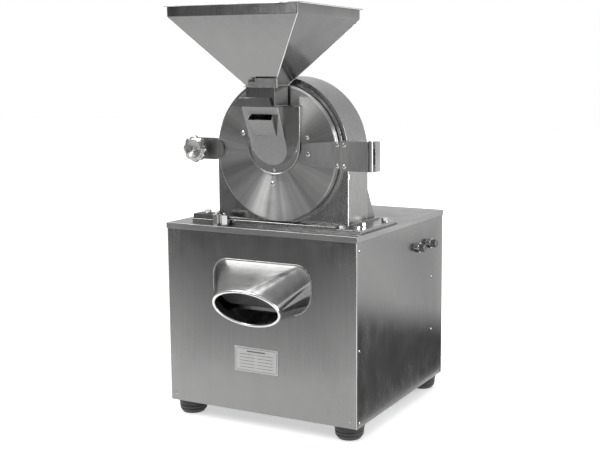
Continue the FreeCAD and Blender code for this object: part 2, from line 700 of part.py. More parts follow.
def belt_outline(top_r, low_r, y):
    """Face bounded by two pulley arcs and their outer tangents, both pulleys on one upright line."""
    rise = AXIS_Z - MOTOR_Z
    lean = math.asin((low_r - top_r) / rise)
    c, s = math.cos(lean), math.sin(lean)
    top = [V(AXIS_X + sx * top_r * c, y, AXIS_Z + top_r * s) for sx in (1, -1)]
    low = [V(AXIS_X + sx * low_r * c, y, MOTOR_Z + low_r * s) for sx in (1, -1)]
    crown = V(AXIS_X, y, AXIS_Z + top_r)
    keel = V(AXIS_X, y, MOTOR_Z - low_r)
    edges = [Part.Arc(top[0], crown, top[1]).toShape(), Part.makeLine(top[1], low[1]),
             Part.Arc(low[1], keel, low[0]).toShape(), Part.makeLine(low[0], top[0])]
    return Part.Face(Part.Wire(edges))


def belt_guard():
    """Bent cover over the spindle pulley, open below over the slot in the top plate."""
    y0, y1 = GUARD_Y
    r = GUARD_R
    cover = box(AXIS_X - r, AXIS_X + r, y0, y1, CAB_TOP, AXIS_Z).fuse(rod(r, spindle_axis(y0), Y, y1 - y0))
    hollow = box(AXIS_X - r + SHEET, AXIS_X + r - SHEET, y0 + SHEET, y1 - SHEET, CAB_TOP, AXIS_Z)
    hollow = hollow.fuse(rod(r - SHEET, spindle_axis(y0 + SHEET), Y, y1 - y0 - 2 * SHEET))
    return cover.cut(hollow).cut(rod(54, spindle_axis(y0 - 1), Y, 4))


# ---------------------------------------------------------------- motor

def motor_axis(y):
    return (AXIS_X, y, MOTOR_Z)


def motor_body():
    """Finned stator frame with end shields, a terminal box and a foot on each side."""
    y0, y1 = MOTOR_Y
    body = [rod(MOTOR_R - 8, motor_axis(y0), Y, y1 - y0)]
    for i in range(MOTOR_FINS):
        fin = box(AXIS_X - 2, AXIS_X + 2, y0 + 50, y1 - 25, MOTOR_Z, MOTOR_Z + MOTOR_R)
        fin.rotate(V(AXIS_X, 0, MOTOR_Z), Y, 360.0 * i / MOTOR_FINS)
        body.append(fin)
    for side in (-1, 1):
        xs = sorted((AXIS_X + side * 45, AXIS_X + side * 105))
        body.append(box(*xs, *MOTOR_FOOT_Y, MOTOR_FOOT_Z, MOTOR_FOOT_Z + MOTOR_FOOT_T))
        xs = sorted((AXIS_X + side * 45, AXIS_X + side * 70))
        body.append(box(*xs, *MOTOR_FOOT_Y, MOTOR_FOOT_Z, MOTOR_Z - 50))
    body.append(box(AXIS_X + 74, AXIS_X + 150, -130, -30, MOTOR_Z - 35, MOTOR_Z + 45))
    whole = fuse(body)
    whole = whole.cut(rod(MOTOR_BORE_R, motor_axis(y0 + 20), Y, y1 - y0 - 40))
    return whole.cut(rod(MOTOR_SHAFT_R + 0.2, motor_axis(y1 - 30), Y, 40))


def motor_plate():
    inner = FRAME_X - ANGLE_T
    return box(-inner, inner, -190, 40, FOOT_H + ANGLE_T, MOTOR_FOOT_Z)


def motor_bolts():
    z = MOTOR_FOOT_Z + MOTOR_FOOT_T
    places = [(AXIS_X + side * 88, y) for side in (-1, 1) for y in (-130, -20)]
    return [hex_prism(HEX_FLATS, (x, y, z), HEX_H) for x, y in places]


def motor_rotor():
    core = rod(MOTOR_CORE_R, motor_axis(MOTOR_Y[0] + 45), Y, 160)
    front = MOTOR_Y[0] + 25
    return fuse([core, rod(MOTOR_SHAFT_R, motor_axis(front), Y, PULLEY_Y[1] + 4 - front)])


# ---------------------------------------------------------------- discharge duct

def duct_body(grow):
    """Sloping duct from the throat under the housing to the opening in the front panel."""
    x0, x1, y0, y1 = THROAT
    top = [V(x0 - grow, y0 - grow, PLATE_UNDER), V(x1 + grow, y0 - grow, PLATE_UNDER),
           V(x1 + grow, y1 + grow, PLATE_UNDER), V(x0 - grow, y1 + grow, PLATE_UNDER)]
    front = PANEL_Y + SHEET
    x0, x1, z0, z1 = SPOUT_BASE
    bx0, bx1, bz0, bz1 = x0 + DUCT_INSET, x1 - DUCT_INSET, z0 + DUCT_INSET, z1 - DUCT_INSET
    low = [V(bx0 - grow, front, bz1 + grow), V(bx1 + grow, front, bz1 + grow),
           V(bx1 + grow, front, bz0 - grow), V(bx0 - grow, front, bz0 - grow)]
    wires = [Part.makePolygon(corners + corners[:1]) for corners in (top, low)]
    return Part.makeLoft(wires, True, True)


def discharge_duct():
    return duct_body(SHEET).cut(duct_body(0.0))


# ---------------------------------------------------------------- door

def door_disc():
    """Round door with a turned edge and a feed opening behind the chute."""
    disc = rod(DOOR_R, (AXIS_X, DOOR_FRONT, AXIS_Z), Y, DOOR_BACK - DOOR_FRONT)
    edge = [e for e in disc.Edges if e.Closed and e.BoundBox.YMax < DOOR_FRONT + 1]
    disc = disc.makeChamfer(DOOR_CHAMFER, edge)
    return disc.cut(u_block(FEED_HALF, DOOR_FRONT - 1, DOOR_BACK + 1, FEED_TOP))


def door_gasket():
    return tube(DOOR_R, BORE_R - 6, (AXIS_X, DOOR_BACK, AXIS_Z), Y, GASKET_T)


def stator_ring():
    """Ring of fixed teeth on the inside of the door."""
    inner, outer = STATOR_R
    y0, y1 = STATOR_Y
    ring = tube(outer, inner, (AXIS_X, DOOR_BACK, AXIS_Z), Y, y0 - DOOR_BACK)
    teeth = []
    for i in range(STATOR_TEETH):
        tooth = box(AXIS_X + inner, AXIS_X + outer, y0, y1, AXIS_Z - TOOTH_HALF, AXIS_Z + TOOTH_HALF)
        tooth = tooth.common(tube(outer, inner, (AXIS_X, y0, AXIS_Z), Y, y1 - y0))
        tooth.rotate(V(AXIS_X, 0, AXIS_Z), Y, 360.0 * i / STATOR_TEETH)
        teeth.append(tooth)
    return ring.fuse(teeth).removeSplitter()


def door_screws():
    """Round-head screws of the stator ring, the chute flange and the hinge arms."""
    screws = [rod(6.5, (x, DOOR_FRONT - 4, z), Y, 4) for x, z in ((-69, 813), (23, 678), (131, 806))]
    screws.append(rod(6.5, (138, ARM_Y - 4, 763), Y, 4))
    for x, z in ((101, 771), (33, 716), (-35, 771)):
        screws.append(rod(4.0, (x, DOOR_FRONT - FLANGE_T - 2.5, z), Y, 2.5))
    for z in (735, 791):
        screws.append(rod(6.0, (226, ARM_Y - 4, z), Y, 4))
        screws.append(rod(6.0, (250, ARM_Y - ARM_T - 4, z), Y, 4))
    return screws


def chute_flange():
    """U-shaped flange on the door face with a raised outer edge."""
    face = DOOR_FRONT - FLANGE_T
    width, height = FLANGE_RIM
    plate = u_block(FLANGE_R, face, DOOR_FRONT, CHUTE_TOP)
    rim = u_block(FLANGE_R, face - height, face, CHUTE_TOP)
    rim = rim.cut(u_block(FLANGE_R - width, face - height - 1, face + 1, CHUTE_TOP + 1))
    return fuse([plate, rim]).cut(u_block(CHUTE_R - SHEET, face - 20, DOOR_FRONT + 1, CHUTE_TOP + 1))


def chute_plane_y(z):
    """Front face of the sloping chute plate at a height."""
    return CHUTE_TOP_Y + (z - CHUTE_TOP) * CHUTE_SLOPE


def behind_slope(shift):
    """Everything behind the sloping plate, with the plane moved back by a shift."""
    low, high = 600.0, 1000.0
    outline = [(-300, chute_plane_y(low) + shift, low), (-300, chute_plane_y(high) + shift, high),
               (-300, 0, high), (-300, 0, low)]
    return prism(outline, V(800, 0, 0))


def feed_chute():
    """U-shaped duct from the neck down to the door opening, closed by the sloping plate."""
    y0 = DOOR_FRONT - FLANGE_T
    outer = u_block(CHUTE_R, -345, y0, CHUTE_TOP).common(behind_slope(0))
    inner = u_block(CHUTE_R - SHEET, -345, y0, CHUTE_TOP + 1).common(behind_slope(SHEET))
    shell = outer.cut(inner)
    return shell.cut(box(*SCOOP_X, -345, y0 - 4, *SCOOP_Z))


def air_scoop():
    """Open-topped air inlet on the sloping plate: a leaning front plate and two cheeks."""
    x0, x1 = SCOOP_X
    z0, z1 = SCOOP_Z
    foot, back = chute_plane_y(z0), chute_plane_y(z1)
    tip_y, tip_z = SCOOP_TIP
    lean_left, lean_right = -4.0, 8.0
    front = [(x0, foot, z0), (x1, foot, z0), (x1 + lean_right, tip_y, tip_z),
             (x0 + lean_left, tip_y, tip_z)]
    parts = [prism(front, V(0, -SCOOP_SHEET, 0))]
    for x, lean, step in ((x0, lean_left, -SCOOP_SHEET), (x1, lean_right, SCOOP_SHEET)):
        outline = [(x, foot - SCOOP_SHEET, z0), (x, foot, z0), (x + lean * 0.6, back, z1),
                   (x + lean, tip_y - SCOOP_SHEET, tip_z)]
        parts.append(prism_hull(outline, V(step, 0, 0)))
    return fuse(parts)


def prism_hull(points, vector):
    """A slightly warped four-point outline thickened along a vector, as two triangular prisms."""
    a, b, c, d = points
    return prism([a, b, c], vector).fuse(prism([a, c, d], vector))


def chute_lid():
    """Top plate of the chute, the leaning collar on it and the square neck, welded together."""
    outline = [(-48, -333, CHUTE_TOP), (89, -333, CHUTE_TOP), (89, -284, CHUTE_TOP),
               (114, -284, CHUTE_TOP), (114, DOOR_FRONT, CHUTE_TOP), (-48, DOOR_FRONT, CHUTE_TOP)]
    lid = prism(outline, V(0, 0, LID_T))
    outer = box(AXIS_X - NECK_X, AXIS_X + NECK_X, *NECK_Y, LID_TOP, NECK_TOP)
    collar = prism([(-48, -333, LID_TOP), (72, -333, LID_TOP), (65, -333, 911), (-28, -333, 911)],
                   V(0, 333 + NECK_Y[0], 0))
    hollow = box(AXIS_X - NECK_X + SHEET, AXIS_X + NECK_X - SHEET, NECK_Y[0] + SHEET,
                 NECK_Y[1] - SHEET, CHUTE_TOP - 1, NECK_TOP + 1)
    slot = box(AXIS_X - GATE_HALF - EPS, AXIS_X + GATE_HALF + EPS, NECK_Y[0] - 1, NECK_Y[0] + 3,
               GATE_Z - GATE_T / 2 - EPS, GATE_Z + GATE_T / 2 + EPS)
    return fuse([lid, outer, collar]).cut(hollow).cut(slot)


def pyramid(inset, low, high, extra):
    """Frustum of the hopper between its neck and its mouth, shrunk by an inset."""
    corners = []
    for z, hx, (y0, y1) in ((low, NECK_X, NECK_Y), (high, HOPPER_X, HOPPER_Y)):
        x0, x1 = AXIS_X - hx + inset, AXIS_X + hx - inset
        corners.append([V(x0, y0 + inset, z), V(x1, y0 + inset, z), V(x1, y1 - inset, z),
                        V(x0, y1 - inset, z)])
    if extra:
        corners[0] = [p - V(0, 0, extra) for p in corners[0]]
    wires = [Part.makePolygon(c + c[:1]) for c in corners]
    return Part.makeLoft(wires, True, True)


def hopper():
    """Feed hopper: four sloping sheets, an upright rim band and an outward lip."""
    x0, x1 = AXIS_X - HOPPER_X, AXIS_X + HOPPER_X
    y0, y1 = HOPPER_Y
    skin = pyramid(0.0, NECK_TOP, RIM_Z, 0.0).cut(pyramid(HOPPER_SHEET, NECK_TOP, RIM_Z, 0.2))
    band = box(x0, x1, y0, y1, RIM_Z, HOPPER_TOP)
    lip = box(x0 - RIM_LIP, x1 + RIM_LIP, y0 - RIM_LIP, y1 + RIM_LIP, HOPPER_TOP - SHEET, HOPPER_TOP)
    hollow = box(x0 + HOPPER_SHEET, x1 - HOPPER_SHEET, y0 + HOPPER_SHEET, y1 - HOPPER_SHEET, RIM_Z - 1,
                 HOPPER_TOP + 1)
    return fuse([skin, fuse([band, lip]).cut(hollow)])


def gate():
    """Slide gate: a flat blade through the neck's front slot and a stepped grip plate."""
    blade = box(AXIS_X - GATE_HALF, AXIS_X + GATE_HALF, GRIP_Y, NECK_Y[1] - SHEET - 1.5,
                GATE_Z - GATE_T / 2, GATE_Z + GATE_T / 2)
    low = GATE_Z - GATE_T / 2
    steps = [(8, low), (96, low), (96, 962), (28, 962), (28, 953), (8, 953)]
    grip = prism([(x, GRIP_Y - GATE_T, z) for x, z in steps], V(0, GATE_T, 0))
    return fuse([blade, grip])


# ---------------------------------------------------------------- door hinge

def door_arm():
    """Tapered arm screwed flat on the door's face."""
    outline = [(117, 740), (117, 791), (246, 799), (246, 726), (150, 734)]
    return prism([(x, ARM_Y, z) for x, z in outline], V(0, ARM_T, 0))


def hinge_plate():
    """Wider plate over the arm's end, with the middle knuckle on its edge."""
    low, high = KNUCKLE_Z
    z0, z1 = ARM_Z
    plate = box(236, HINGE[0] - 4, ARM_Y - ARM_T, ARM_Y, z0, z1)
    clear = [rod(BARREL_R + EPS, (*HINGE, z0 - 1), Z, low + EPS + 1 - z0),
             rod(BARREL_R + EPS, (*HINGE, high - EPS), Z, z1 + 1 - high + EPS)]
    plate = plate.cut(clear).fuse(rod(BARREL_R, (*HINGE, low), Z, high - low))
    return plate.cut(rod(HINGE_PIN_R + FIT, (*HINGE, z0 - 1), Z, z1 - z0 + 2)).removeSplitter()


def hinge_bracket():
    """Bracket on the housing's right side that carries the two fixed knuckles."""
    low, high = KNUCKLE_Z
    leaf_left, leaf_right = LEAF_X
    back = -226.0
    shoe = box(DRUM_SIDE, DRUM_SIDE + SHOE_T, -236, -140, *SHOE_Z)
    front = box(DRUM_SIDE, leaf_right, -236, back, *SHOE_Z)
    leaf = box(leaf_left, leaf_right, -254, back, *ARM_Z)
    parts = [shoe, front, leaf]
    for z0, z1 in ((ARM_Z[0], low - EPS), (high + EPS, ARM_Z[1])):
        parts.append(rod(BARREL_R, (*HINGE, z0), Z, z1 - z0))
        parts.append(box(HINGE[0] - 3, leaf_left + 1, HINGE[1] + 3, back, z0, z1))
    bracket = fuse(parts)
    return bracket.cut(rod(HINGE_PIN_R, (*HINGE, ARM_Z[0] - 1), Z, ARM_Z[1] - ARM_Z[0] + 2))


def hinge_pin():
    pin = rod(HINGE_PIN_R, (*HINGE, ARM_Z[0] - 1), Z, ARM_Z[1] - ARM_Z[0] + 2)
    return pin.fuse(rod(HINGE_PIN_R + 2, (*HINGE, ARM_Z[1]), Z, 3))


def hinge_bolts():
    x = DRUM_SIDE + SHOE_T
    return [rod(BOLT_R, (x, y, z), X, 5) for y in (-205, -165) for z in (742, 784)]


# ---------------------------------------------------------------- door clamp

def clamp_axis(y):
    return (CLAMP_X, y, CLAMP_Z)


def door_lug():
    """Plate on the door's free edge with a clearance hole for the clamp screw."""
    y0 = DOOR_FRONT - LUG_T
    lug = box(-226, -160, y0, DOOR_FRONT, CLAMP_Z - LUG_HALF, CLAMP_Z + LUG_HALF)
    lug = lug.fuse(rod(LUG_HALF, (-160, y0, CLAMP_Z), Y, LUG_T))
    return lug.cut(rod(BOLT_R + 1, clamp_axis(y0 - 1), Y, LUG_T + 2)).removeSplitter()


def clamp_boss():
    """Tapped block on the drum's left side that the clamp screw runs into."""
    boss = box(*BOSS_X, HOUSING_FRONT, -190, CLAMP_Z - BOSS_HALF, CLAMP_Z + BOSS_HALF)
    boss = boss.cut(arch(DRUM_R, FLANGE_Z, HOUSING_FRONT - 1, HOUSING_BACK))
    return boss.cut(rod(BOLT_R + FIT, clamp_axis(HOUSING_FRONT - 1), Y, 22))


def clamp_screw():
    front = KNOB_BACK - KNOB_T + 6
    back = HOUSING_FRONT - 0.5
    return rod(BOLT_R, clamp_axis(front), Y, back - front)


def clamp_washer():
    return tube(WASHER_R, BOLT_R + FIT, clamp_axis(KNOB_BACK), Y, WASHER_T)


def star_knob():
    """Eight-lobed hand knob with a raised hub, bored through for the screw."""
    front = KNOB_BACK - KNOB_T
    thick = KNOB_T - 10
    parts = [rod(KNOB_R - 8, clamp_axis(front + 4), Y, thick),
             rod(KNOB_HUB_R, clamp_axis(front), Y, KNOB_T)]
    reach = KNOB_R - LOBE_R
    for i in range(KNOB_LOBES):
        a = 2 * math.pi * i / KNOB_LOBES
        lobe = (CLAMP_X + reach * math.cos(a), front + 4, CLAMP_Z + reach * math.sin(a))
        parts.append(rod(LOBE_R, lobe, Y, thick))
    return fuse(parts).cut(rod(BOLT_R, clamp_axis(front - 1), Y, KNOB_T + 2))


def main():
    os.makedirs("parts", exist_ok=True)
    save("cabinet_frame", cabinet_frame())
    for name, panel in panels().items():
        save(name, panel)
    save("top_plate", top_plate())
    save("rubber_feet", rubber_feet())
    save("foot_studs", foot_studs())
    save("cabinet_screws", panel_screws() + plate_rivets())
    save("name_plate", name_plate())
    save("spout", spout())
    save("discharge_duct", discharge_duct())
    save("button_bezels", [button_bezel(y) for y in BUTTON_Y])
    save("start_button", button_cap(BUTTON_Y[0]))
    save("stop_button", button_cap(BUTTON_Y[1]))
    save("base_plate", base_plate())
    save("clamp_bar", clamp_bar())
    save("hex_screws", base_bolts() + motor_bolts() + hinge_bolts())
    save("housing", housing())
    save("housing_ring", housing_ring())
    save("screen", screen())
    save("tooth_liner", tooth_liner())
    save("bearing_housing", bearing_housing())
    save("bearing_outer_rings", bearing_outer_rings())
    save("bearing_inner_rings", bearing_inner_rings())
    save("bearing_covers", bearing_covers())
    save("spindle", spindle())
    save("rotor_discs", rotor_discs())
    save("rotor_hub", rotor_hub())
    save("hammer_pins", hammer_pins())
    for i, (x, z) in enumerate(pin_places()):
        save(f"hammers_{i + 1}", hammer_group(x, z))
    save("spindle_pulley", pulley(SPINDLE_PULLEY_R, SHAFT_R, AXIS_X, AXIS_Z))
    save("motor_pulley", pulley(MOTOR_PULLEY_R, MOTOR_SHAFT_R, AXIS_X, MOTOR_Z))
    save("belts", belts())
    save("belt_guard", belt_guard())
    save("motor_body", motor_body())
    save("motor_plate", motor_plate())
    save("motor_rotor", motor_rotor())
    save("door_disc", door_disc())
    save("door_gasket", door_gasket())
    save("stator_ring", stator_ring())
    save("door_screws", door_screws())
    save("chute_flange", chute_flange())
    save("feed_chute", feed_chute())
    save("air_scoop", air_scoop())
    save("chute_lid", chute_lid())
    save("hopper", hopper())
    save("gate", gate())
    save("door_arm", door_arm())
    save("hinge_plate", hinge_plate())
    save("hinge_bracket", hinge_bracket())
    save("hinge_pin", hinge_pin())
    save("door_lug", door_lug())
    save("clamp_boss", clamp_boss())
    save("clamp_screw", clamp_screw())
    save("clamp_washer", clamp_washer())
    save("star_knob", star_knob())


main()
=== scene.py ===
"""Looks of the hammer mill: rounded sheet edges, welds, threads, screw heads and procedural metals.

Metres, in the CAD model's frame: +X to the right seen from the front, -Y the front, +Z up.
"""
import json
import math
import random

import bmesh
import bpy
from mathutils import Matrix, Vector


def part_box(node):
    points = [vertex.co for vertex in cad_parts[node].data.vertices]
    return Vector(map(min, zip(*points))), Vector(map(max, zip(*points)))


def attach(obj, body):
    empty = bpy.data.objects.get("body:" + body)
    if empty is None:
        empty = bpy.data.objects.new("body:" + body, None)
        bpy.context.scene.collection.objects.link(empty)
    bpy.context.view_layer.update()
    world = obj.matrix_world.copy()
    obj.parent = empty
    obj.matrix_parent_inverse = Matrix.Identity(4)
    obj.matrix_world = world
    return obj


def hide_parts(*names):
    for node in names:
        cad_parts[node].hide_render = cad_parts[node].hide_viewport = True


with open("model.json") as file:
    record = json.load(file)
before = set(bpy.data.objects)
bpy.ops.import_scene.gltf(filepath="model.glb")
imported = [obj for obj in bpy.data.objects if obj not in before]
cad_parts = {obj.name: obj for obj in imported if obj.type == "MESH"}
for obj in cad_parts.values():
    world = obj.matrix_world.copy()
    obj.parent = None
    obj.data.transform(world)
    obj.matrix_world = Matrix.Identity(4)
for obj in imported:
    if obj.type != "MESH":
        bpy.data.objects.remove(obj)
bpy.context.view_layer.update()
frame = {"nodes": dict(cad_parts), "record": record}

MM = 0.001
TAU = 2 * math.pi
NODES = frame["nodes"]
BODY_OF = {node: body for body, nodes in frame["record"]["behaviour"]["bodies"].items() for node in nodes}
SLOT_OF = {part["node"]: part["material_slot"] for part in frame["record"]["subparts"]}
AXES = {"X": Vector((1, 0, 0)), "Y": Vector((0, 1, 0)), "Z": Vector((0, 0, 1))}


# ---------------------------------------------------------------- materials

# Scales are waves in a metre; details are how many finer layers a noise has.
PATCH_SCALE, PATCH_DETAIL = 5.0, 3.0            # cloudy polishing marks
SMUDGE_SCALE, SMUDGE_DETAIL = 23.0, 5.0         # finger marks
SMUDGE_STRETCH = (1.0, 1.0, 0.6)
GRAIN_DETAIL = 4.0
STREAK_SCALE, STREAK_DETAIL = 4.0, 6.0          # streaks of a turned face
DUST_SCALE, DUST_DETAIL = 14.0, 5.0
PIMPLE_DETAIL = 2.0
BUMP_STRENGTH = 0.6
EDGE_FROM, EDGE_TO = 0.52, 0.60                 # pointiness over which an edge is made brighter
METAL_EDGE_LIFT, COATING_EDGE_LIFT = 0.12, 0.05
# A painted highlight: one sector of the door's turned face is made brighter, standing in for a lamp's
# highlight.
PAINTED_HIGHLIGHT_AT = math.radians(68)                      # middle of the painted highlight on the door's face, from +X towards +Z
PAINTED_HIGHLIGHT_GAIN = 0.55
PAINTED_HIGHLIGHT_FROM = 0.78                                # cosine at the painted highlight's edge
DARKEST = 0.004
RADIAL_TURN = 0.25                              # turns a highlight from along the marks to across them
EVEN = (1.0, 1.0, 1.0)                          # a noise that isn't stretched
WHITE = (1.0, 1.0, 1.0)
STEEL_TINT = (1.0, 1.0, 0.99)


def add_node(tree, kind, **settings):
    made = tree.nodes.new("ShaderNode" + kind)
    for key, value in settings.items():
        setattr(made, key, value)
    return made


def noise_value(tree, coordinates, scale, detail=PATCH_DETAIL, stretch=EVEN):
    """A noise between 0 and 1, stretched along the axes where the stretch is small."""
    mapping = add_node(tree, "Mapping")
    mapping.inputs["Scale"].default_value = stretch
    tree.links.new(coordinates, mapping.inputs["Vector"])
    made = add_node(tree, "TexNoise")
    made.inputs["Scale"].default_value = scale
    made.inputs["Detail"].default_value = detail
    tree.links.new(mapping.outputs["Vector"], made.inputs["Vector"])
    return made.outputs["Fac"]


def remap(tree, value, low, high, from_low=0.3, from_high=0.7):
    made = add_node(tree, "MapRange")
    for key, number in (("From Min", from_low), ("From Max", from_high), ("To Min", low), ("To Max", high)):
        made.inputs[key].default_value = number
    tree.links.new(value, made.inputs["Value"])
    return made.outputs["Result"]


def combine(tree, operation, first, second):
    made = add_node(tree, "Math", operation=operation)
    for socket, value in zip(made.inputs, (first, second)):
        if isinstance(value, (int, float)):
            socket.default_value = value
        else:
            tree.links.new(value, socket)
    return made.outputs["Value"]


def grey(tree, value, tint):
    """A colour from a brightness, with the tint's hue."""
    made = add_node(tree, "VectorMath", operation="SCALE")
    made.inputs[0].default_value = tint
    tree.links.new(value, made.inputs["Scale"])
    return made.outputs["Vector"]


def start_material(name):
    made = bpy.data.materials.new(name)
    made.use_nodes = True
    tree = made.node_tree
    coordinates = add_node(tree, "TexCoord").outputs["Object"]
    return made, tree, tree.nodes["Principled BSDF"], coordinates


def bright_edges(tree, strength):
    """Extra brightness along sharp outer edges."""
    pointed = add_node(tree, "NewGeometry").outputs["Pointiness"]
    return remap(tree, pointed, 0.0, strength, EDGE_FROM, EDGE_TO)


def bump(tree, shader, height, depth):
    made = add_node(tree, "Bump")
    made.inputs["Strength"].default_value = BUMP_STRENGTH
    made.inputs["Distance"].default_value = depth
    tree.links.new(height, made.inputs["Height"])
    tree.links.new(made.outputs["Normal"], shader.inputs["Normal"])


def round_marks_and_painted_highlight(tree):
    """Streaks that change only with the angle round the piece's middle, and a painted highlight over one
    sector.
    """
    centred = add_node(tree, "VectorMath", operation="SUBTRACT")
    centred.inputs[1].default_value = (0.5, 0.5, 0.5)       # the middle of the piece's own box
    tree.links.new(add_node(tree, "TexCoord").outputs["Generated"], centred.inputs[0])
    flat = add_node(tree, "VectorMath", operation="MULTIPLY")
    flat.inputs[1].default_value = (1.0, 0.0, 1.0)
    tree.links.new(centred.outputs["Vector"], flat.inputs[0])
    unit = add_node(tree, "VectorMath", operation="NORMALIZE")
    tree.links.new(flat.outputs["Vector"], unit.inputs[0])
    toward = add_node(tree, "VectorMath", operation="DOT_PRODUCT")
    toward.inputs[1].default_value = (math.cos(PAINTED_HIGHLIGHT_AT), 0.0, math.sin(PAINTED_HIGHLIGHT_AT))
    tree.links.new(unit.outputs["Vector"], toward.inputs[0])
    # painted highlight: brighter towards the middle of the sector
    painted_highlight = remap(tree, toward.outputs["Value"], 0.0, PAINTED_HIGHLIGHT_GAIN, PAINTED_HIGHLIGHT_FROM, 1.0)
    return noise_value(tree, unit.outputs["Vector"], STREAK_SCALE, STREAK_DETAIL), painted_highlight


def metal(name, tone, rough, grain, cloud, fine=60.0, depth=0.02 * MM, stretch=EVEN, tint=STEEL_TINT,
          turned=None, anisotropy=0.0, rays=0.0):
    """Bare metal: directional grain, cloudy polishing marks, smudges, brighter sharp edges and, on a turned
    face, streaks and a painted highlight.
    """
    made, tree, shader, at = start_material(name)
    lines = noise_value(tree, at, fine, GRAIN_DETAIL, stretch)
    patches = noise_value(tree, at, PATCH_SCALE, PATCH_DETAIL)
    smudges = noise_value(tree, at, SMUDGE_SCALE, SMUDGE_DETAIL, SMUDGE_STRETCH)
    shade = combine(tree, "ADD", remap(tree, lines, tone - grain, tone + grain),
                    remap(tree, patches, -cloud / 2, cloud / 2))
    shade = combine(tree, "ADD", shade, bright_edges(tree, METAL_EDGE_LIFT))
    if rays:
        # a turned face gets its streaks and a painted highlight over one sector
        streaks, painted_highlight = round_marks_and_painted_highlight(tree)
        shade = combine(tree, "ADD", shade, remap(tree, streaks, -rays, rays))
        shade = combine(tree, "ADD", shade, painted_highlight)
    tree.links.new(grey(tree, shade, tint), shader.inputs["Base Color"])
    wear = combine(tree, "ADD", remap(tree, patches, rough - 0.04, rough + 0.05),
                   remap(tree, smudges, -0.03, 0.05))
    wear = combine(tree, "ADD", wear, remap(tree, lines, -0.03, 0.03))
    tree.links.new(wear, shader.inputs["Roughness"])
    shader.inputs["Metallic"].default_value = 1.0
    bump(tree, shader, lines, depth)
    if turned:
        shader.inputs["Anisotropic"].default_value = anisotropy
        shader.inputs["Anisotropic Rotation"].default_value = RADIAL_TURN
        around = add_node(tree, "Tangent", direction_type="RADIAL", axis=turned)
        tree.links.new(around.outputs["Tangent"], shader.inputs["Tangent"])
    return made


def coating(name, tone, rough, scale, depth, spread, tint=WHITE):
    """Paint, rubber or moulded plastic: fine pimples, dust and brighter sharp edges."""
    made, tree, shader, at = start_material(name)
    pimples = noise_value(tree, at, scale, PIMPLE_DETAIL)
    dust = noise_value(tree, at, DUST_SCALE, DUST_DETAIL)
    shade = remap(tree, dust, tone - spread, tone + spread)
    shade = combine(tree, "ADD", shade, bright_edges(tree, COATING_EDGE_LIFT))
    shade = combine(tree, "MAXIMUM", shade, DARKEST)
    tree.links.new(grey(tree, shade, tint), shader.inputs["Base Color"])
    tree.links.new(remap(tree, dust, rough - 0.08, rough + 0.08), shader.inputs["Roughness"])
    bump(tree, shader, pimples, depth)
    return made


# Tone and roughness; then the spread of the grain and of the clouds, the grain's scale and its depth.
# A small number in a stretch is the direction that the grain runs in.
METALS = {
    "panel_stainless": dict(tone=0.175, rough=0.20, grain=0.010, cloud=0.01, fine=300.0,
                            stretch=(1.0, 1.0, 0.02)),
    "sheet_stainless": dict(tone=0.195, rough=0.17, grain=0.010, cloud=0.02, fine=260.0,
                            stretch=(1.0, 1.0, 0.05)),
    "polished_stainless": dict(tone=0.40, rough=0.20, grain=0.02, cloud=0.03, depth=0.004 * MM),
    # the door's turned face; because rays is set, metal() adds the painted highlight sector to it
    "turned_stainless": dict(tone=0.33, rough=0.33, grain=0.01, cloud=0.03, depth=0.002 * MM,
                             anisotropy=0.95, turned="Y", rays=0.12),
    "housing_stainless": dict(tone=0.25, rough=0.24, grain=0.02, cloud=0.05, fine=180.0, depth=0.008 * MM,
                              stretch=(1.0, 1.0, 0.15)),
    "chrome": dict(tone=0.70, rough=0.18, grain=0.02, cloud=0.03, depth=0.004 * MM),
    "spout_stainless": dict(tone=0.27, rough=0.21, grain=0.02, cloud=0.03, depth=0.004 * MM),
    "top_stainless": dict(tone=0.25, rough=0.32, grain=0.02, cloud=0.04, fine=300.0, depth=0.008 * MM,
                          stretch=(1.0, 0.03, 1.0)),
    "brushed_plate": dict(tone=0.21, rough=0.40, grain=0.04, cloud=0.06, fine=320.0,
                          stretch=(1.0, 1.0, 0.06)),
    "machined_steel": dict(tone=0.50, rough=0.20, grain=0.04, cloud=0.06, fine=300.0,
                           tint=(1.0, 0.995, 0.98)),
    "knob_cast": dict(tone=0.45, rough=0.30, grain=0.06, cloud=0.10, fine=260.0, depth=0.3 * MM,
                      anisotropy=0.6, turned="Y"),
    "plate_metal": dict(tone=0.42, rough=0.45, grain=0.02, cloud=0.02, fine=300.0,
                        stretch=(0.05, 1.0, 1.0)),
    "weld": dict(tone=0.34, rough=0.30, grain=0.08, cloud=0.10, fine=240.0, depth=0.2 * MM,
                 tint=(1.0, 0.985, 0.96)),
}
# Tone and roughness; then the pimples' scale and depth, and the spread of the dust.
COATINGS = {
    "dusty_steel": dict(tone=0.24, rough=0.60, scale=60.0, depth=0.2 * MM, spread=0.08),
    "cast_iron": dict(tone=0.05, rough=0.50, scale=160.0, depth=0.4 * MM, spread=0.015),
    "frame_paint": dict(tone=0.16, rough=0.45, scale=300.0, depth=0.1 * MM, spread=0.03,
                        tint=(0.96, 1.0, 1.04)),
    "rubber": dict(tone=0.015, rough=0.55, scale=700.0, depth=0.06 * MM, spread=0.006),
    "button_plastic": dict(tone=0.07, rough=0.22, scale=900.0, depth=0.01 * MM, spread=0.006),
    "plate_print": dict(tone=0.04, rough=0.60, scale=500.0, depth=0.01 * MM, spread=0.02),
}


def make_materials():
    made = {name: metal(name, **look) for name, look in METALS.items()}
    made.update({name: coating(name, **look) for name, look in COATINGS.items()})
    return made


# ---------------------------------------------------------------- mesh tools

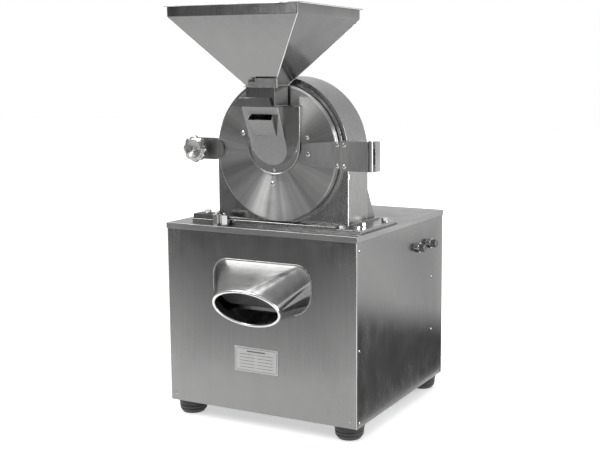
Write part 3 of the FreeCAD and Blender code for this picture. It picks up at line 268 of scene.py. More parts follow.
DOUBLE_WITHIN = 0.002 * MM
HEX_STEPS = 48
HEX_CHAMFER_AT = 0.94                # of the apothem, where a head's chamfer starts
HEX_CHAMFER_SLOPE = math.tan(math.radians(30))
PAN_RINGS, PAN_STEPS = 10, 32
PAN_CROWN = 0.75                     # how far a pan head's dome falls at its rim
RECESS_WIDTH, RECESS_REACH, RECESS_DEPTH = 0.13, 0.55, 0.45
BEAD_STEP = 0.7 * MM
BEAD_STEPS_A_SCALE = 4
BEAD_SIDES = 8
TURNED_STEPS = 56                    # sides of a large turned piece
WASHER_STEPS = 40
RIVET_STEPS = 20
ROD_STEPS = 24
THREAD_PITCH = 1.75 * MM
THREAD_DEPTH = 0.55 * THREAD_PITCH
THREAD_STEPS = 6                     # rings in one turn of the thread
THREAD_SIDES = 24


class Sketch:
    """Collects vertices and faces of one piece."""

    def __init__(self):
        self.points = []
        self.faces = []

    def add(self, points, faces):
        base = len(self.points)
        self.points += [Vector(p) for p in points]
        self.faces += [tuple(base + i for i in face) for face in faces]

    def grid(self, rows, closed_rows=False, caps=False):
        """Quads between rings of points that all have the same length."""
        base = len(self.points)
        width = len(rows[0])
        for row in rows:
            self.points += [Vector(p) for p in row]
        spans = len(rows) if closed_rows else len(rows) - 1
        for i in range(spans):
            a, b = base + i * width, base + (i + 1) % len(rows) * width
            for j in range(width):
                k = (j + 1) % width
                self.faces.append((a + j, a + k, b + k, b + j))
        if caps:
            self.faces.append(tuple(base + j for j in reversed(range(width))))
            self.faces.append(tuple(base + (len(rows) - 1) * width + j for j in range(width)))

    def mesh(self, name):
        made = bpy.data.meshes.new(name)
        made.from_pydata([tuple(p) for p in self.points], [], self.faces)
        made.validate()
        return made


def tidy_mesh(mesh):
    """Welds doubled points and turns every face outwards."""
    work = bmesh.new()
    work.from_mesh(mesh)
    bmesh.ops.remove_doubles(work, verts=work.verts, dist=DOUBLE_WITHIN)
    bmesh.ops.recalc_face_normals(work, faces=work.faces)
    work.to_mesh(mesh)
    work.free()


def place(origin, axis):
    """Matrix whose Z runs along an axis."""
    direction = AXES[axis] if isinstance(axis, str) else Vector(axis).normalized()
    turn = direction.to_track_quat("Z", "Y").to_matrix().to_4x4()
    return Matrix.Translation(origin) @ turn


def lathe(sketch, origin, axis, profile, segments):
    """Turns (radius, height) points round an axis."""
    where = place(origin, axis)
    circle = [(math.cos(TAU * i / segments), math.sin(TAU * i / segments)) for i in range(segments)]
    rows = [[where @ Vector((radius * c, radius * s, height)) for c, s in circle]
            for radius, height in profile]
    sketch.grid(rows, caps=True)


def hex_head(sketch, origin, axis, flats, height, turn):
    """Hexagon head with its corners chamfered by a cone."""
    where = place(origin, axis) @ Matrix.Rotation(turn, 4, "Z")
    apothem = flats / 2
    angles = [TAU * i / HEX_STEPS for i in range(HEX_STEPS)]
    reach = [apothem / math.cos(angle % (TAU / 6) - TAU / 12) for angle in angles]
    chamfer_r = apothem * HEX_CHAMFER_AT

    def ring(radius_of, height_of):
        return [where @ Vector((radius_of(r) * math.cos(angle), radius_of(r) * math.sin(angle), height_of(r)))
                for angle, r in zip(angles, reach)]

    rows = [ring(lambda r: r, lambda r: 0.0),
            ring(lambda r: r, lambda r: height - (r - chamfer_r) * HEX_CHAMFER_SLOPE),
            ring(lambda r: chamfer_r, lambda r: height)]
    sketch.grid(rows, caps=True)


def pan_head(sketch, origin, axis, radius, height, slot):
    """Domed screw head with a cross recess."""
    where = place(origin, axis) @ Matrix.Rotation(slot, 4, "Z")
    circle = [(math.cos(TAU * j / PAN_STEPS), math.sin(TAU * j / PAN_STEPS)) for j in range(PAN_STEPS)]

    def top(x, y):
        r = math.hypot(x, y) / radius
        dome = height * math.sqrt(max(0.0, 1 - PAN_CROWN * r * r))
        near, far = sorted((abs(x), abs(y)))
        in_recess = near < RECESS_WIDTH * radius and far < RECESS_REACH * radius
        return dome - (RECESS_DEPTH * height if in_recess else 0.0)

    rows = [[where @ Vector((radius * c, radius * s, 0)) for c, s in circle]]
    for i in range(PAN_RINGS):
        r = radius * (1 - i / PAN_RINGS)
        rows.append([where @ Vector((r * c, r * s, top(r * c, r * s))) for c, s in circle])
    sketch.grid(rows, caps=True)


def washer(sketch, origin, axis, outer, thickness):
    chamfer = thickness * 0.25
    lathe(sketch, origin, axis, [(outer - chamfer, 0), (outer, chamfer), (outer, thickness - chamfer),
                                 (outer - chamfer, thickness)], WASHER_STEPS)


def sweep(sketch, path, radius, sides, closed=False):
    """Round bar along a path; the radius may be a function of the step."""
    points = [Vector(p) for p in path]
    count = len(points)
    rows = []
    side = None
    for i, point in enumerate(points):
        after = points[(i + 1) % count] if closed or i < count - 1 else point
        before = points[i - 1] if closed or i > 0 else point
        along = (after - before).normalized()
        if side is None:
            side = along.orthogonal().normalized()
        side = (side - along * side.dot(along)).normalized()
        other = along.cross(side)
        r = radius(i) if callable(radius) else radius
        rows.append([point + (side * math.cos(TAU * j / sides) + other * math.sin(TAU * j / sides)) * r
                     for j in range(sides)])
    sketch.grid(rows, closed_rows=closed, caps=not closed)


def resample(path, step, closed):
    """Points every step along a polyline."""
    points = [Vector(p) for p in path]
    if closed:
        points.append(points[0])
    made = []
    for a, b in zip(points, points[1:]):
        count = max(1, round((b - a).length / step))
        made += [a.lerp(b, i / count) for i in range(count)]
    if not closed:
        made.append(points[-1])
    return made


def weld_bead(sketch, path, size, closed=False):
    """Fillet weld: a bead whose width ripples like stacked scales."""
    points = resample(path, BEAD_STEP, closed)
    draws = random.Random(len(points))
    wobble = [draws.uniform(0.92, 1.08) for _ in range(len(points) // BEAD_STEPS_A_SCALE + 2)]

    def width(i):
        along_scale = (i % BEAD_STEPS_A_SCALE) / (BEAD_STEPS_A_SCALE - 1)
        return size * (0.86 + 0.14 * along_scale) * wobble[i // BEAD_STEPS_A_SCALE]

    sweep(sketch, points, width, BEAD_SIDES, closed)


def arc(centre, radius, start, end, count):
    """Points of an arc in degrees, in an upright plane seen from the front."""
    made = []
    for i in range(count + 1):
        turn = math.radians(start + (end - start) * i / count)
        made.append(Vector(centre) + Vector((radius * math.cos(turn), 0, radius * math.sin(turn))))
    return made


def rectangle_path(x0, x1, y0, y1, z):
    """Corners of a level rectangle, anticlockwise from above."""
    return [Vector((x0, y0, z)), Vector((x1, y0, z)), Vector((x1, y1, z)), Vector((x0, y1, z))]


def slab(sketch, low, high):
    """A small block between two corners."""
    (x0, y0, z0), (x1, y1, z1) = low, high
    rows = [[(x0, y0, z), (x1, y0, z), (x1, y1, z), (x0, y1, z)] for z in (z0, z1)]
    sketch.grid(rows, caps=True)


def threaded_rod(sketch, origin, axis, radius, length):
    """Round bar with a V thread: the crest runs round as a helix, and both ends are chamfered."""
    where = place(origin, axis)
    count = max(2, round(length / THREAD_PITCH * THREAD_STEPS))
    rows = []
    for i in range(count + 1):
        height = length * i / count
        from_end = min(height, length - height)
        taper = min(1.0, from_end / THREAD_PITCH + 0.3)
        row = []
        for j in range(THREAD_SIDES):
            turn = TAU * j / THREAD_SIDES
            phase = (height / THREAD_PITCH - j / THREAD_SIDES) % 1.0
            r = (radius - THREAD_DEPTH * abs(2 * phase - 1)) * (0.85 + 0.15 * taper)
            row.append(where @ Vector((r * math.cos(turn), r * math.sin(turn), height)))
        rows.append(row)
    sketch.grid(rows, caps=True)


# ---------------------------------------------------------------- pieces

MATERIALS = make_materials()
EDGE_ANGLE = math.radians(35)        # edges sharper than this are rounded off or split
MERGE_WITHIN = 0.01 * MM
FLAT_WITHIN = math.radians(0.2)


def finish_piece(name, sketch, node, material=None, replaces=True, smooth=35.0):
    """Makes the object, shades it, hides the CAD node it stands for and makes it ride with its body."""
    mesh = sketch.mesh(name)
    tidy_mesh(mesh)
    for polygon in mesh.polygons:
        polygon.use_smooth = True
    mesh.set_sharp_from_angle(angle=math.radians(smooth))
    mesh.materials.append(MATERIALS[material or SLOT_OF[node]])
    made = bpy.data.objects.new(name, mesh)
    bpy.context.scene.collection.objects.link(made)
    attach(made, BODY_OF[node])
    if replaces:
        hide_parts(node)


def round_edges(obj, width):
    made = obj.modifiers.new("rounded_edges", "BEVEL")
    made.width = width
    made.segments = 2
    made.limit_method = "ANGLE"
    made.angle_limit = EDGE_ANGLE
    made.harden_normals = True
    made.miter_outer = "MITER_ARC"


def dress(node, edge, material):
    """Gives a CAD node its material, and rounds its sharp edges or, at edge 0, keeps them crisp."""
    obj = NODES[node]
    mesh = obj.data
    mesh.materials.clear()
    mesh.materials.append(MATERIALS[material or SLOT_OF[node]])
    imported = mesh.attributes.get("custom_normal")
    if imported:
        mesh.attributes.remove(imported)
    for polygon in mesh.polygons:
        polygon.use_smooth = True
    weld = obj.modifiers.new("weld", "WELD")
    weld.merge_threshold = MERGE_WITHIN
    if edge:
        flat = obj.modifiers.new("flat_faces", "DECIMATE")
        flat.decimate_type = "DISSOLVE"
        flat.angle_limit = FLAT_WITHIN
        round_edges(obj, edge)
        even = obj.modifiers.new("flat_shading", "WEIGHTED_NORMAL")
        even.weight = 100
        even.keep_sharp = True
    else:
        split = obj.modifiers.new("crisp_edges", "EDGE_SPLIT")
        split.split_angle = EDGE_ANGLE


def islands(node):
    """The low and high corners of a node's separate solids."""
    mesh = NODES[node].data
    keys = [tuple(round(c, 5) for c in vertex.co) for vertex in mesh.vertices]
    leader = {key: key for key in keys}

    def find(key):
        while leader[key] != key:
            leader[key] = leader[leader[key]]
            key = leader[key]
        return key

    for polygon in mesh.polygons:
        first = find(keys[polygon.vertices[0]])
        for index in polygon.vertices[1:]:
            leader[find(keys[index])] = first
    groups = {}
    for key in leader:
        groups.setdefault(find(key), []).append(key)
    corners = [(Vector(map(min, zip(*points))), Vector(map(max, zip(*points)))) for points in groups.values()]
    return sorted(corners, key=lambda pair: tuple(pair[0]))


# ---- cabinet

FOOT_TREAD_R = 31 * MM
FOOT_FLARE = 5 * MM                  # how much wider a foot's body is at its top
FOOT_GROOVES = (0.35, 0.58)          # of the height
GROOVE_DEPTH, GROOVE_EDGE = 1.6 * MM, 1.2 * MM
FOOT_ROUND = 1.5 * MM


def rubber_feet():
    """Turned feet with a rounded tread, two grooves and a moulded collar."""
    for i, (low, high) in enumerate(islands("rubber_feet")):
        centre, radius, height = (low + high) / 2, (high.x - low.x) / 2, high.z - low.z
        profile = [(0, 0), (FOOT_TREAD_R - 4 * MM, 0), (FOOT_TREAD_R, 1 * MM),
                   (FOOT_TREAD_R + 3 * MM, 5 * MM)]
        for groove in FOOT_GROOVES:
            z, r = groove * height, radius - (1 - groove) * FOOT_FLARE
            profile += [(r, z - 2 * GROOVE_EDGE), (r - GROOVE_DEPTH, z - GROOVE_EDGE), (r - GROOVE_DEPTH, z),
                        (r, z + GROOVE_EDGE)]
        profile += [(radius - 1 * MM, 0.8 * height), (radius, 0.86 * height), (radius, height - FOOT_ROUND),
                    (radius - FOOT_ROUND, height), (0, height)]
        sketch = Sketch()
        lathe(sketch, (centre.x, centre.y, low.z), "Z", profile, TURNED_STEPS)
        finish_piece(f"rubber_foot_{i + 1}", sketch, "rubber_feet", smooth=50)


def outward(low, high):
    """Axis and sign of a flat head: along its thinnest side, away from the cabinet's middle."""
    size = high - low
    axis = min(range(3), key=lambda k: size[k])
    sign = 1 if (low[axis] + high[axis]) > 0 else -1
    direction = Vector((0, 0, 0))
    direction[axis] = sign
    seat = (low + high) / 2
    seat[axis] = low[axis] if sign > 0 else high[axis]
    return seat, direction, size[axis], size[(axis + 1) % 3] / 2


RIVET_R = 2.5 * MM                   # heads up to this radius are plain rivets


def screw_heads(name, node):
    """Domed heads with a cross recess, each turned its own way; the smallest are plain rivets."""
    turns = random.Random(name)
    sketch = Sketch()
    for low, high in islands(node):
        seat, direction, height, radius = outward(low, high)
        if radius > RIVET_R:
            pan_head(sketch, seat, direction, radius, height, turns.uniform(0, TAU))
        else:
            dome = [(radius, 0), (radius * 0.9, height * 0.5), (radius * 0.5, height * 0.9), (0, height)]
            lathe(sketch, seat, direction, dome, RIVET_STEPS)
    finish_piece(name, sketch, node, smooth=40)


HEX_FLATS = 17 * MM
CLAMP_NUT_FROM = 30 * MM             # a fastener taller than this is a clamping nut on a stud
STUD_R, STUD_PROUD = 6 * MM, 5 * MM
WASHER_FROM = 9 * MM                 # a head taller than this sits on a washer
WASHER_T = 2 * MM
SIDE_HEAD_TO = 6 * MM                # a head thinner than this along X is screwed in from the side
FLATS_TO_CORNERS = 0.87


def hex_fasteners():
    """Hexagon screws on washers, plain nuts, two tall clamping nuts and the hinge bracket's screws."""
    turns = random.Random(7)
    sketch = Sketch()
    for low, high in islands("hex_screws"):
        size, middle = high - low, (low + high) / 2
        seat = Vector((middle.x, middle.y, low.z))
        turn = turns.uniform(0, 1)
        if size.z > CLAMP_NUT_FROM:
            nut = size.z - STUD_PROUD
            hex_head(sketch, seat, "Z", size.y, nut, turn)
            threaded_rod(sketch, seat + Vector((0, 0, nut)), "Z", STUD_R, STUD_PROUD)
        elif size.x < SIDE_HEAD_TO:
            seat = Vector((low.x, middle.y, middle.z))
            hex_head(sketch, seat, "X", size.y * FLATS_TO_CORNERS, size.x, turn)
        elif size.z > WASHER_FROM:
            washer(sketch, seat, "Z", size.x / 2, WASHER_T)
            hex_head(sketch, seat + Vector((0, 0, WASHER_T)), "Z", HEX_FLATS, size.z - WASHER_T, turn)
        else:
            hex_head(sketch, seat, "Z", HEX_FLATS, size.z, turn)
    finish_piece("hex_fasteners", sketch, "hex_screws", smooth=30)


SPOUT_LOW_R, SPOUT_HIGH_R = 60 * MM, 45 * MM         # corner radii of the base outline
SPOUT_BASE_Z = (332 * MM, 468 * MM)
MOUTH = Vector((10 * MM, -368 * MM, 357 * MM))
MOUTH_HALF = (102 * MM, 61 * MM)
MOUTH_TILT = math.radians(30)
MOUTH_UP = Vector((0, -math.sin(MOUTH_TILT), math.cos(MOUTH_TILT)))
MOUTH_OUT = Vector((0, -math.cos(MOUTH_TILT), -math.sin(MOUTH_TILT)))
MOUTH_STEPS = 120
SHEET = 2 * MM
CORNER_STEPS = 20
EDGE_STEPS = 8
SPOUT_ROWS = 10
RIM_SIDES = 14
SPOUT_BEAD = 2.0 * MM
BEAD_R = 4.6 * MM
BEAD_PROUD = 4.3 * MM                # the bead's middle, in front of the sheet's end


def spout_base(inset):
    """Base outline on the panel: lower right corner first, anticlockwise; each corner is an arc."""
    low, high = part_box("spout")
    x0, x1, y = low.x + inset, high.x - inset, high.y
    z0, z1 = SPOUT_BASE_Z[0] + inset, SPOUT_BASE_Z[1] - inset
    low_r, high_r = SPOUT_LOW_R - inset, SPOUT_HIGH_R - inset
    corners = [(x1 - low_r, z0 + low_r, low_r, 270), (x1 - high_r, z1 - high_r, high_r, 0),
               (x0 + high_r, z1 - high_r, high_r, 90), (x0 + low_r, z0 + low_r, low_r, 180)]
    return [arc((x, y, z), r, start, start + 90, CORNER_STEPS) for x, z, r, start in corners]


def mouth_point(inset, turn):
    a, b = MOUTH_HALF[0] - inset, MOUTH_HALF[1] - inset
    return MOUTH + Vector((1, 0, 0)) * a * math.cos(turn) + MOUTH_UP * b * math.sin(turn)


def spout_lines(inset):
    """Straight lines of the sheet from its base to its mouth: cones at the corners, flats between."""
    arcs = spout_base(inset)
    lines = []
    for i, points in enumerate(arcs):
        start = (i - 1) * TAU / 4
        lines += [(p, mouth_point(inset, start + TAU / 4 * k / CORNER_STEPS)) for k, p in enumerate(points)]
        after = arcs[(i + 1) % 4][0]
        tip = mouth_point(inset, start + TAU / 4)
        lines += [(points[-1].lerp(after, k / EDGE_STEPS), tip) for k in range(1, EDGE_STEPS)]
    return lines


def spout():
    """Square-to-round spout of 2 mm sheet with a rolled bead round its mouth."""
    outer, inner = spout_lines(0), spout_lines(SHEET)
    rows = [[a.lerp(b, i / SPOUT_ROWS) for a, b in outer] for i in range(SPOUT_ROWS + 1)]
    rows += [[b.lerp(a, i / SPOUT_ROWS) for a, b in inner] for i in range(SPOUT_ROWS + 1)]
    sketch = Sketch()
    sketch.grid(rows, closed_rows=True)
    finish_piece("spout_sheet", sketch, "spout", "spout_stainless", smooth=25)
    proud = MOUTH_OUT * BEAD_PROUD
    bead = [mouth_point(SHEET / 2, TAU * i / MOUTH_STEPS) + proud for i in range(MOUTH_STEPS)]
    rim = Sketch()
    sweep(rim, bead, BEAD_R, RIM_SIDES, closed=True)
    finish_piece("spout_bead", rim, "spout", "chrome", smooth=60)
    off_panel = Vector((0, -0.6 * MM, 0))
    outline = [p + off_panel for points in spout_base(-0.8 * MM) for p in points]
    weld = Sketch()
    weld_bead(weld, outline, SPOUT_BEAD, closed=True)
    finish_piece("spout_weld", weld, "spout", "weld", replaces=False)


PLATE_MARGIN = 3.5 * MM
PRINT_T = 0.12 * MM
PRINT_LINE = 1.2 * MM
HEADING_HALF, HEADING_Z = 0.22, (10 * MM, 6.5 * MM)      # of the width; from the top
FIELD_ROWS = 5


def plate_fields():
    """Border, heading bar and ruled blank fields of the data plate."""
    low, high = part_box("name_plate")
    x0, x1 = low.x + PLATE_MARGIN, high.x - PLATE_MARGIN
    z0, z1 = low.z + PLATE_MARGIN, high.z - PLATE_MARGIN
    middle, wide = (x0 + x1) / 2, (x1 - x0) * HEADING_HALF
    bars = [(x0, x1, z1 - PRINT_LINE, z1), (x0, x1, z0, z0 + PRINT_LINE),
            (x0, x0 + PRINT_LINE, z0, z1), (x1 - PRINT_LINE, x1, z0, z1),
            (middle - wide, middle + wide, z1 - HEADING_Z[0], z1 - HEADING_Z[1])]
    for i in range(FIELD_ROWS):
        z = z0 + (i + 1) * (z1 - z0 - 14 * MM) / (FIELD_ROWS + 0.4)
        bars += [(x0 + 14 * MM, middle - 4 * MM, z, z + PRINT_LINE),
                 (middle + 2 * MM, x1 - 12 * MM, z, z + PRINT_LINE)]
    sketch = Sketch()
    for left, right, bottom, top in bars:
        slab(sketch, (left, low.y - PRINT_T, bottom), (right, low.y, top))
    finish_piece("name_plate_fields", sketch, "name_plate", "plate_print", replaces=False)


LOUVRE_HALF, LOUVRE_FIRST_Z, LOUVRE_STEP, LOUVRE_COUNT = 112 * MM, 127 * MM, 22 * MM, 9
LOUVRE_BEND = ((0, 0), (-3 * MM, -0.5 * MM), (-7 * MM, -3 * MM), (-12 * MM, -9 * MM))
LOUVRE_THICK = Vector((0, -0.4 * MM, 1.2 * MM))


def louvres():
    """Blades behind the slots of the rear panel, bent down and inwards."""
    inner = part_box("rear_panel")[0].y
    sketch = Sketch()
    for i in range(LOUVRE_COUNT):
        z = LOUVRE_FIRST_Z + i * LOUVRE_STEP
        bend = [Vector((0, inner + back, z + down)) for back, down in LOUVRE_BEND]
        outline = bend + [p + LOUVRE_THICK for p in reversed(bend)]
        rows = [[p + Vector((x, 0, 0)) for p in outline] for x in (-LOUVRE_HALF, LOUVRE_HALF)]
        sketch.grid(rows, caps=True)
    finish_piece("rear_louvre_blades", sketch, "rear_panel", replaces=False)


# A cap's profile: how much of its radius, and how far below its highest ring.
CAP_PROFILE = ((1.0, 2.2 * MM), (0.97, 0.9 * MM), (0.88, 0.1 * MM), (0.80, 0.0), (0.72, 0.25 * MM),
               (0.45, 1.0 * MM), (0.0, 1.3 * MM))


def button_caps():
    """Moulded caps with a shallow finger dish."""
    for node in ("start_button", "stop_button"):
        low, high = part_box(node)
        centre, radius, height = (low + high) / 2, (high.z - low.z) / 2, high.x - low.x
        profile = [(0, 0), (radius, 0)] + [(radius * part, height - drop) for part, drop in CAP_PROFILE]
        sketch = Sketch()
        lathe(sketch, (low.x, centre.y, centre.z), "X", profile, TURNED_STEPS)
        finish_piece(node + "_cap", sketch, node, smooth=40)


# ---- door clamp

LOBES = 8
LOBE_DEPTH, LOBE_SHARPNESS = 0.10, 1.6
KNOB_BORE = 3.2 * MM
KNOB_STEPS = 128
# Rings of the knob: part of its radius, part of its thickness from the back.
KNOB_HUB = ((0.40, 0.0), (0.43, 0.03), (0.44, 0.26))
KNOB_RIM = ((0.50, 0.30), (0.72, 0.34), (0.90, 0.38), (0.975, 0.46), (1.0, 0.56), (0.99, 0.68), (0.95, 0.78),
            (0.88, 0.85), (0.80, 0.87))
KNOB_FACE = ((0.74, 0.90), (0.70, 0.955), (0.66, 0.97), (0.62, 0.95), (0.30, 0.80), (0.16, 0.77))
LOBES_FROM, LOBES_FADE = 0.5, 0.35   # where the lobes start, and how soon they are full


def star_knob():
    """Cast hand knob: shallow lobes, a turned dish in its face with a small bore, and a tapered hub."""
    low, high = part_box("star_knob")
    centre, radius, thick = (low + high) / 2, (high.x - low.x) / 2, high.y - low.y
    where = place(Vector((centre.x, high.y, centre.z)), (0, -1, 0))
    rings = [(KNOB_BORE, 0.0, 0.0)]
    rings += [(part * radius, rise * thick, 0.0) for part, rise in KNOB_HUB]
    rings += [(part * radius, rise * thick, LOBE_DEPTH * min(1.0, max(0.0, (part - LOBES_FROM) / LOBES_FADE)))
              for part, rise in KNOB_RIM]
    rings += [(part * radius, rise * thick, 0.0) for part, rise in KNOB_FACE]
    rings += [(KNOB_BORE + 0.8 * MM, 0.76 * thick, 0.0), (KNOB_BORE, 0.73 * thick, 0.0),
              (KNOB_BORE, 0.5 * thick, 0.0), (0.0, 0.5 * thick, 0.0)]
    rows = []
    for r, height, lobe in rings:
        row = []
        for j in range(KNOB_STEPS):
            turn = TAU * j / KNOB_STEPS
            reach = r * (1 - lobe * (0.5 - 0.5 * math.cos(LOBES * turn)) ** LOBE_SHARPNESS)
            row.append(where @ Vector((reach * math.cos(turn), reach * math.sin(turn), height)))
        rows.append(row)
    sketch = Sketch()
    sketch.grid(rows, caps=True)
    finish_piece("star_knob_casting", sketch, "star_knob", smooth=45)


def clamp_screw():
    low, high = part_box("clamp_screw")
    centre, radius = (low + high) / 2, (high.x - low.x) / 2
    sketch = Sketch()
    threaded_rod(sketch, Vector((centre.x, low.y, centre.z)), "Y", radius, high.y - low.y)
    finish_piece("clamp_screw_thread", sketch, "clamp_screw", smooth=60)


# ---- welds, seams and rolled edges

NECK_HALF = 44 * MM
NECK_Y = (-325 * MM, -257 * MM)
LID_TOP = 891 * MM
NECK_BEAD, LID_BEAD, BRACKET_BEAD, FOOT_BEAD = 1.2 * MM, 1.6 * MM, 1.8 * MM, 1.6 * MM
BRACKET_Z = (728 * MM, 798 * MM)
BRACKET_Y = (-140 * MM, -225 * MM)
PEDESTAL_REAR = -104 * MM
# The rod at the pedestal's corner, and the thicker end at its top: radius and height.
CORNER_ROD = ((0, 0), (1.9 * MM, 0), (1.9 * MM, 122 * MM), (3.6 * MM, 123 * MM), (4.0 * MM, 136 * MM),
              (3.0 * MM, 139 * MM), (0, 139.5 * MM))
ROD_INSET = 0.8 * MM
LIP_CLEAR = 15 * MM                  # a corner seam ends this far below the top plate
SEAM_INSET = 0.4 * MM
SEAM_R = 1.2 * MM
SEAM_STEPS, SEAM_SIDES = 12, 10
HOPPER_RIM_Z = 1118 * MM
HOPPER_LIP = 7 * MM
HOPPER_ROLL_R = 1.6 * MM
HOPPER_SEAM_R = 1.1 * MM
HOPPER_SEAM_STEPS, HOPPER_SEAM_SIDES = 8, 8


def neck_welds():
    """Fillet welds round the neck under the hopper: at its top and on the lid."""
    housing_low, housing_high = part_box("housing")
    neck_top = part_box("chute_lid")[1].z
    middle = (housing_low.x + housing_high.x) / 2
    x0, x1 = middle - NECK_HALF, middle + NECK_HALF
    y0, y1 = NECK_Y
    sketch = Sketch()
    weld_bead(sketch, rectangle_path(x0, x1, y0, y1, neck_top), NECK_BEAD, closed=True)
    weld_bead(sketch, [(x1, y0, LID_TOP), (x1, y1, LID_TOP), (x0, y1, LID_TOP)], LID_BEAD)
    finish_piece("neck_welds", sketch, "chute_lid", "weld", replaces=False)


def bracket_welds():
    """Fillet welds above and below the hinge bracket, on the drum's side."""
    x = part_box("housing")[1].x + 0.5 * MM
    sketch = Sketch()
    for z in BRACKET_Z:
        weld_bead(sketch, [(x, y, z) for y in BRACKET_Y], BRACKET_BEAD)
    finish_piece("bracket_welds", sketch, "hinge_bracket", "weld", replaces=False)


def pedestal_edges():
    """Fillet weld round the pedestal's foot, and the rod at its front right corner."""
    low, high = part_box("housing")
    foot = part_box("base_plate")[1].z
    outline = [(low.x, PEDESTAL_REAR, foot), (low.x, low.y, foot), (high.x, low.y, foot),
               (high.x, PEDESTAL_REAR, foot)]
    sketch = Sketch()
    weld_bead(sketch, outline, FOOT_BEAD)
    finish_piece("pedestal_welds", sketch, "housing", "weld", replaces=False)
    sketch = Sketch()
    lathe(sketch, (high.x - ROD_INSET, low.y + ROD_INSET, foot), "Z", CORNER_ROD, ROD_STEPS)
    finish_piece("pedestal_corner_rod", sketch, "housing", "polished_stainless", replaces=False)


def cabinet_seams():
    """Dressed seams at the cabinet's two front corners."""
    low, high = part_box("front_panel")
    length = high.z - LIP_CLEAR - low.z
    sketch = Sketch()
    for x in (low.x - SHEET + SEAM_INSET, high.x + SHEET - SEAM_INSET):
        seam = [Vector((x, low.y + SEAM_INSET, low.z + length * k / SEAM_STEPS))
                for k in range(SEAM_STEPS + 1)]
        sweep(sketch, seam, SEAM_R, SEAM_SIDES)
    finish_piece("cabinet_corner_seams", sketch, "front_panel", "chrome", replaces=False)


def hopper_edges():
    """Rolled edge round the hopper's lip, and the dressed seams of its four corners."""
    low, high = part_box("hopper")
    r = HOPPER_ROLL_R
    rim = rectangle_path(low.x + r, high.x - r, low.y + r, high.y - r, high.z - r)
    path = []
    for corner, after in zip(rim, rim[1:] + rim[:1]):
        path += [corner.lerp(after, k / SEAM_STEPS) for k in range(SEAM_STEPS)]
    sketch = Sketch()
    sweep(sketch, path, r, SEAM_SIDES, closed=True)
    finish_piece("hopper_rolled_edge", sketch, "hopper", "chrome", replaces=False)
    middle = (low.x + high.x) / 2
    foot = rectangle_path(middle - NECK_HALF, middle + NECK_HALF, *NECK_Y, low.z)
    top = rectangle_path(low.x + HOPPER_LIP, high.x - HOPPER_LIP, low.y + HOPPER_LIP, high.y - HOPPER_LIP,
                         HOPPER_RIM_Z)
    sketch = Sketch()
    for start, end in zip(foot, top):
        seam = [start.lerp(end, k / HOPPER_SEAM_STEPS) for k in range(HOPPER_SEAM_STEPS + 1)]
        sweep(sketch, seam, HOPPER_SEAM_R, HOPPER_SEAM_SIDES)
    finish_piece("hopper_corner_seams", sketch, "hopper", "chrome", replaces=False)


# Rounding of a node's edges; a node with 0 keeps them crisp. Any other node gets SOFT_EDGE.
EDGES = {"top_plate": 1.2 * MM, "base_plate": 1.0 * MM, "housing": 1.2 * MM, "chute_flange": 1.0 * MM,
         "hopper": 1.2 * MM, "door_arm": 0.8 * MM, "hinge_plate": 0.8 * MM, "door_disc": 0.8 * MM,
         "screen": 0.0, "tooth_liner": 0.0, "motor_body": 0.5 * MM, "stator_ring": 0.4 * MM}
SOFT_EDGE = 0.4 * MM
# Nodes whose finish differs from that of their slot.
FINISHES = {"button_bezels": "chrome", "top_plate": "top_stainless", "discharge_duct": "dusty_steel",
            "air_scoop": "brushed_plate", "hinge_plate": "brushed_plate", "door_arm": "brushed_plate",
            "door_lug": "brushed_plate", "hinge_bracket": "brushed_plate", "clamp_boss": "brushed_plate"}

for node in NODES:
    dress(node, EDGES.get(node, SOFT_EDGE), FINISHES.get(node))
rubber_feet()
screw_heads("cabinet_screw_heads", "cabinet_screws")
screw_heads("door_screw_heads", "door_screws")
hex_fasteners()
spout()
plate_fields()
louvres()
button_caps()
star_knob()
clamp_screw()
neck_welds()
bracket_welds()
pedestal_edges()
cabinet_seams()
hopper_edges()


# ---------------------------------------------------------------- studio

CAMERA_PLACE = (1.4634, -2.6040, 0.9783)
CAMERA_YAW, CAMERA_PITCH, CAMERA_ROLL = 25.77, 7.682, 0.058      # degrees; positive pitch looks down
CAMERA_LENS = 61.03
CAMERA_SHIFT = (-0.1229, -0.0261)


def make_camera():
    data = bpy.data.cameras.new("camera")
    data.lens = CAMERA_LENS
    data.sensor_width = 36.0
    data.shift_x, data.shift_y = CAMERA_SHIFT
    data.clip_end = 60.0
    made = bpy.data.objects.new("camera", data)
    bpy.context.scene.collection.objects.link(made)
    turn = Matrix.Rotation(math.radians(CAMERA_YAW), 4, "Z")
    tilt = Matrix.Rotation(math.radians(90 - CAMERA_PITCH), 4, "X")
    roll = Matrix.Rotation(math.radians(CAMERA_ROLL), 4, "Z")
    made.matrix_world = Matrix.Translation(CAMERA_PLACE) @ turn @ tilt @ roll
    bpy.context.scene.camera = made


def add_light(name, data, at, target):
    made = bpy.data.objects.new(name, data)
    made.location = at
    made.rotation_euler = (Vector(target) - Vector(at)).to_track_quat("-Z", "Y").to_euler()
    made.visible_camera = False
    bpy.context.scene.collection.objects.link(made)
    return made


def gloss_light(name, at, target, size, power):
    """A soft box that only the metal shows; the floor does not."""
    data = bpy.data.lights.new(name, "AREA")
    data.shape = "RECTANGLE"
    data.size, data.size_y = size
    data.energy = power
    add_light(name, data, at, target).visible_diffuse = False


def soft_sun(name, at, strength, spread):
    """Even light on the whole floor with soft shadows; it leaves no glint on metal."""
    data = bpy.data.lights.new(name, "SUN")
    data.energy = strength
    data.angle = math.radians(spread)
    add_light(name, data, at, (0, 0, 0)).visible_glossy = False


FLOOR_REACH = 14.0
FLOOR_TONE = (0.92, 0.95)
FLOOR_GLOW = 0.5                     # the floor is a lit table, so that shadows on it stay pale


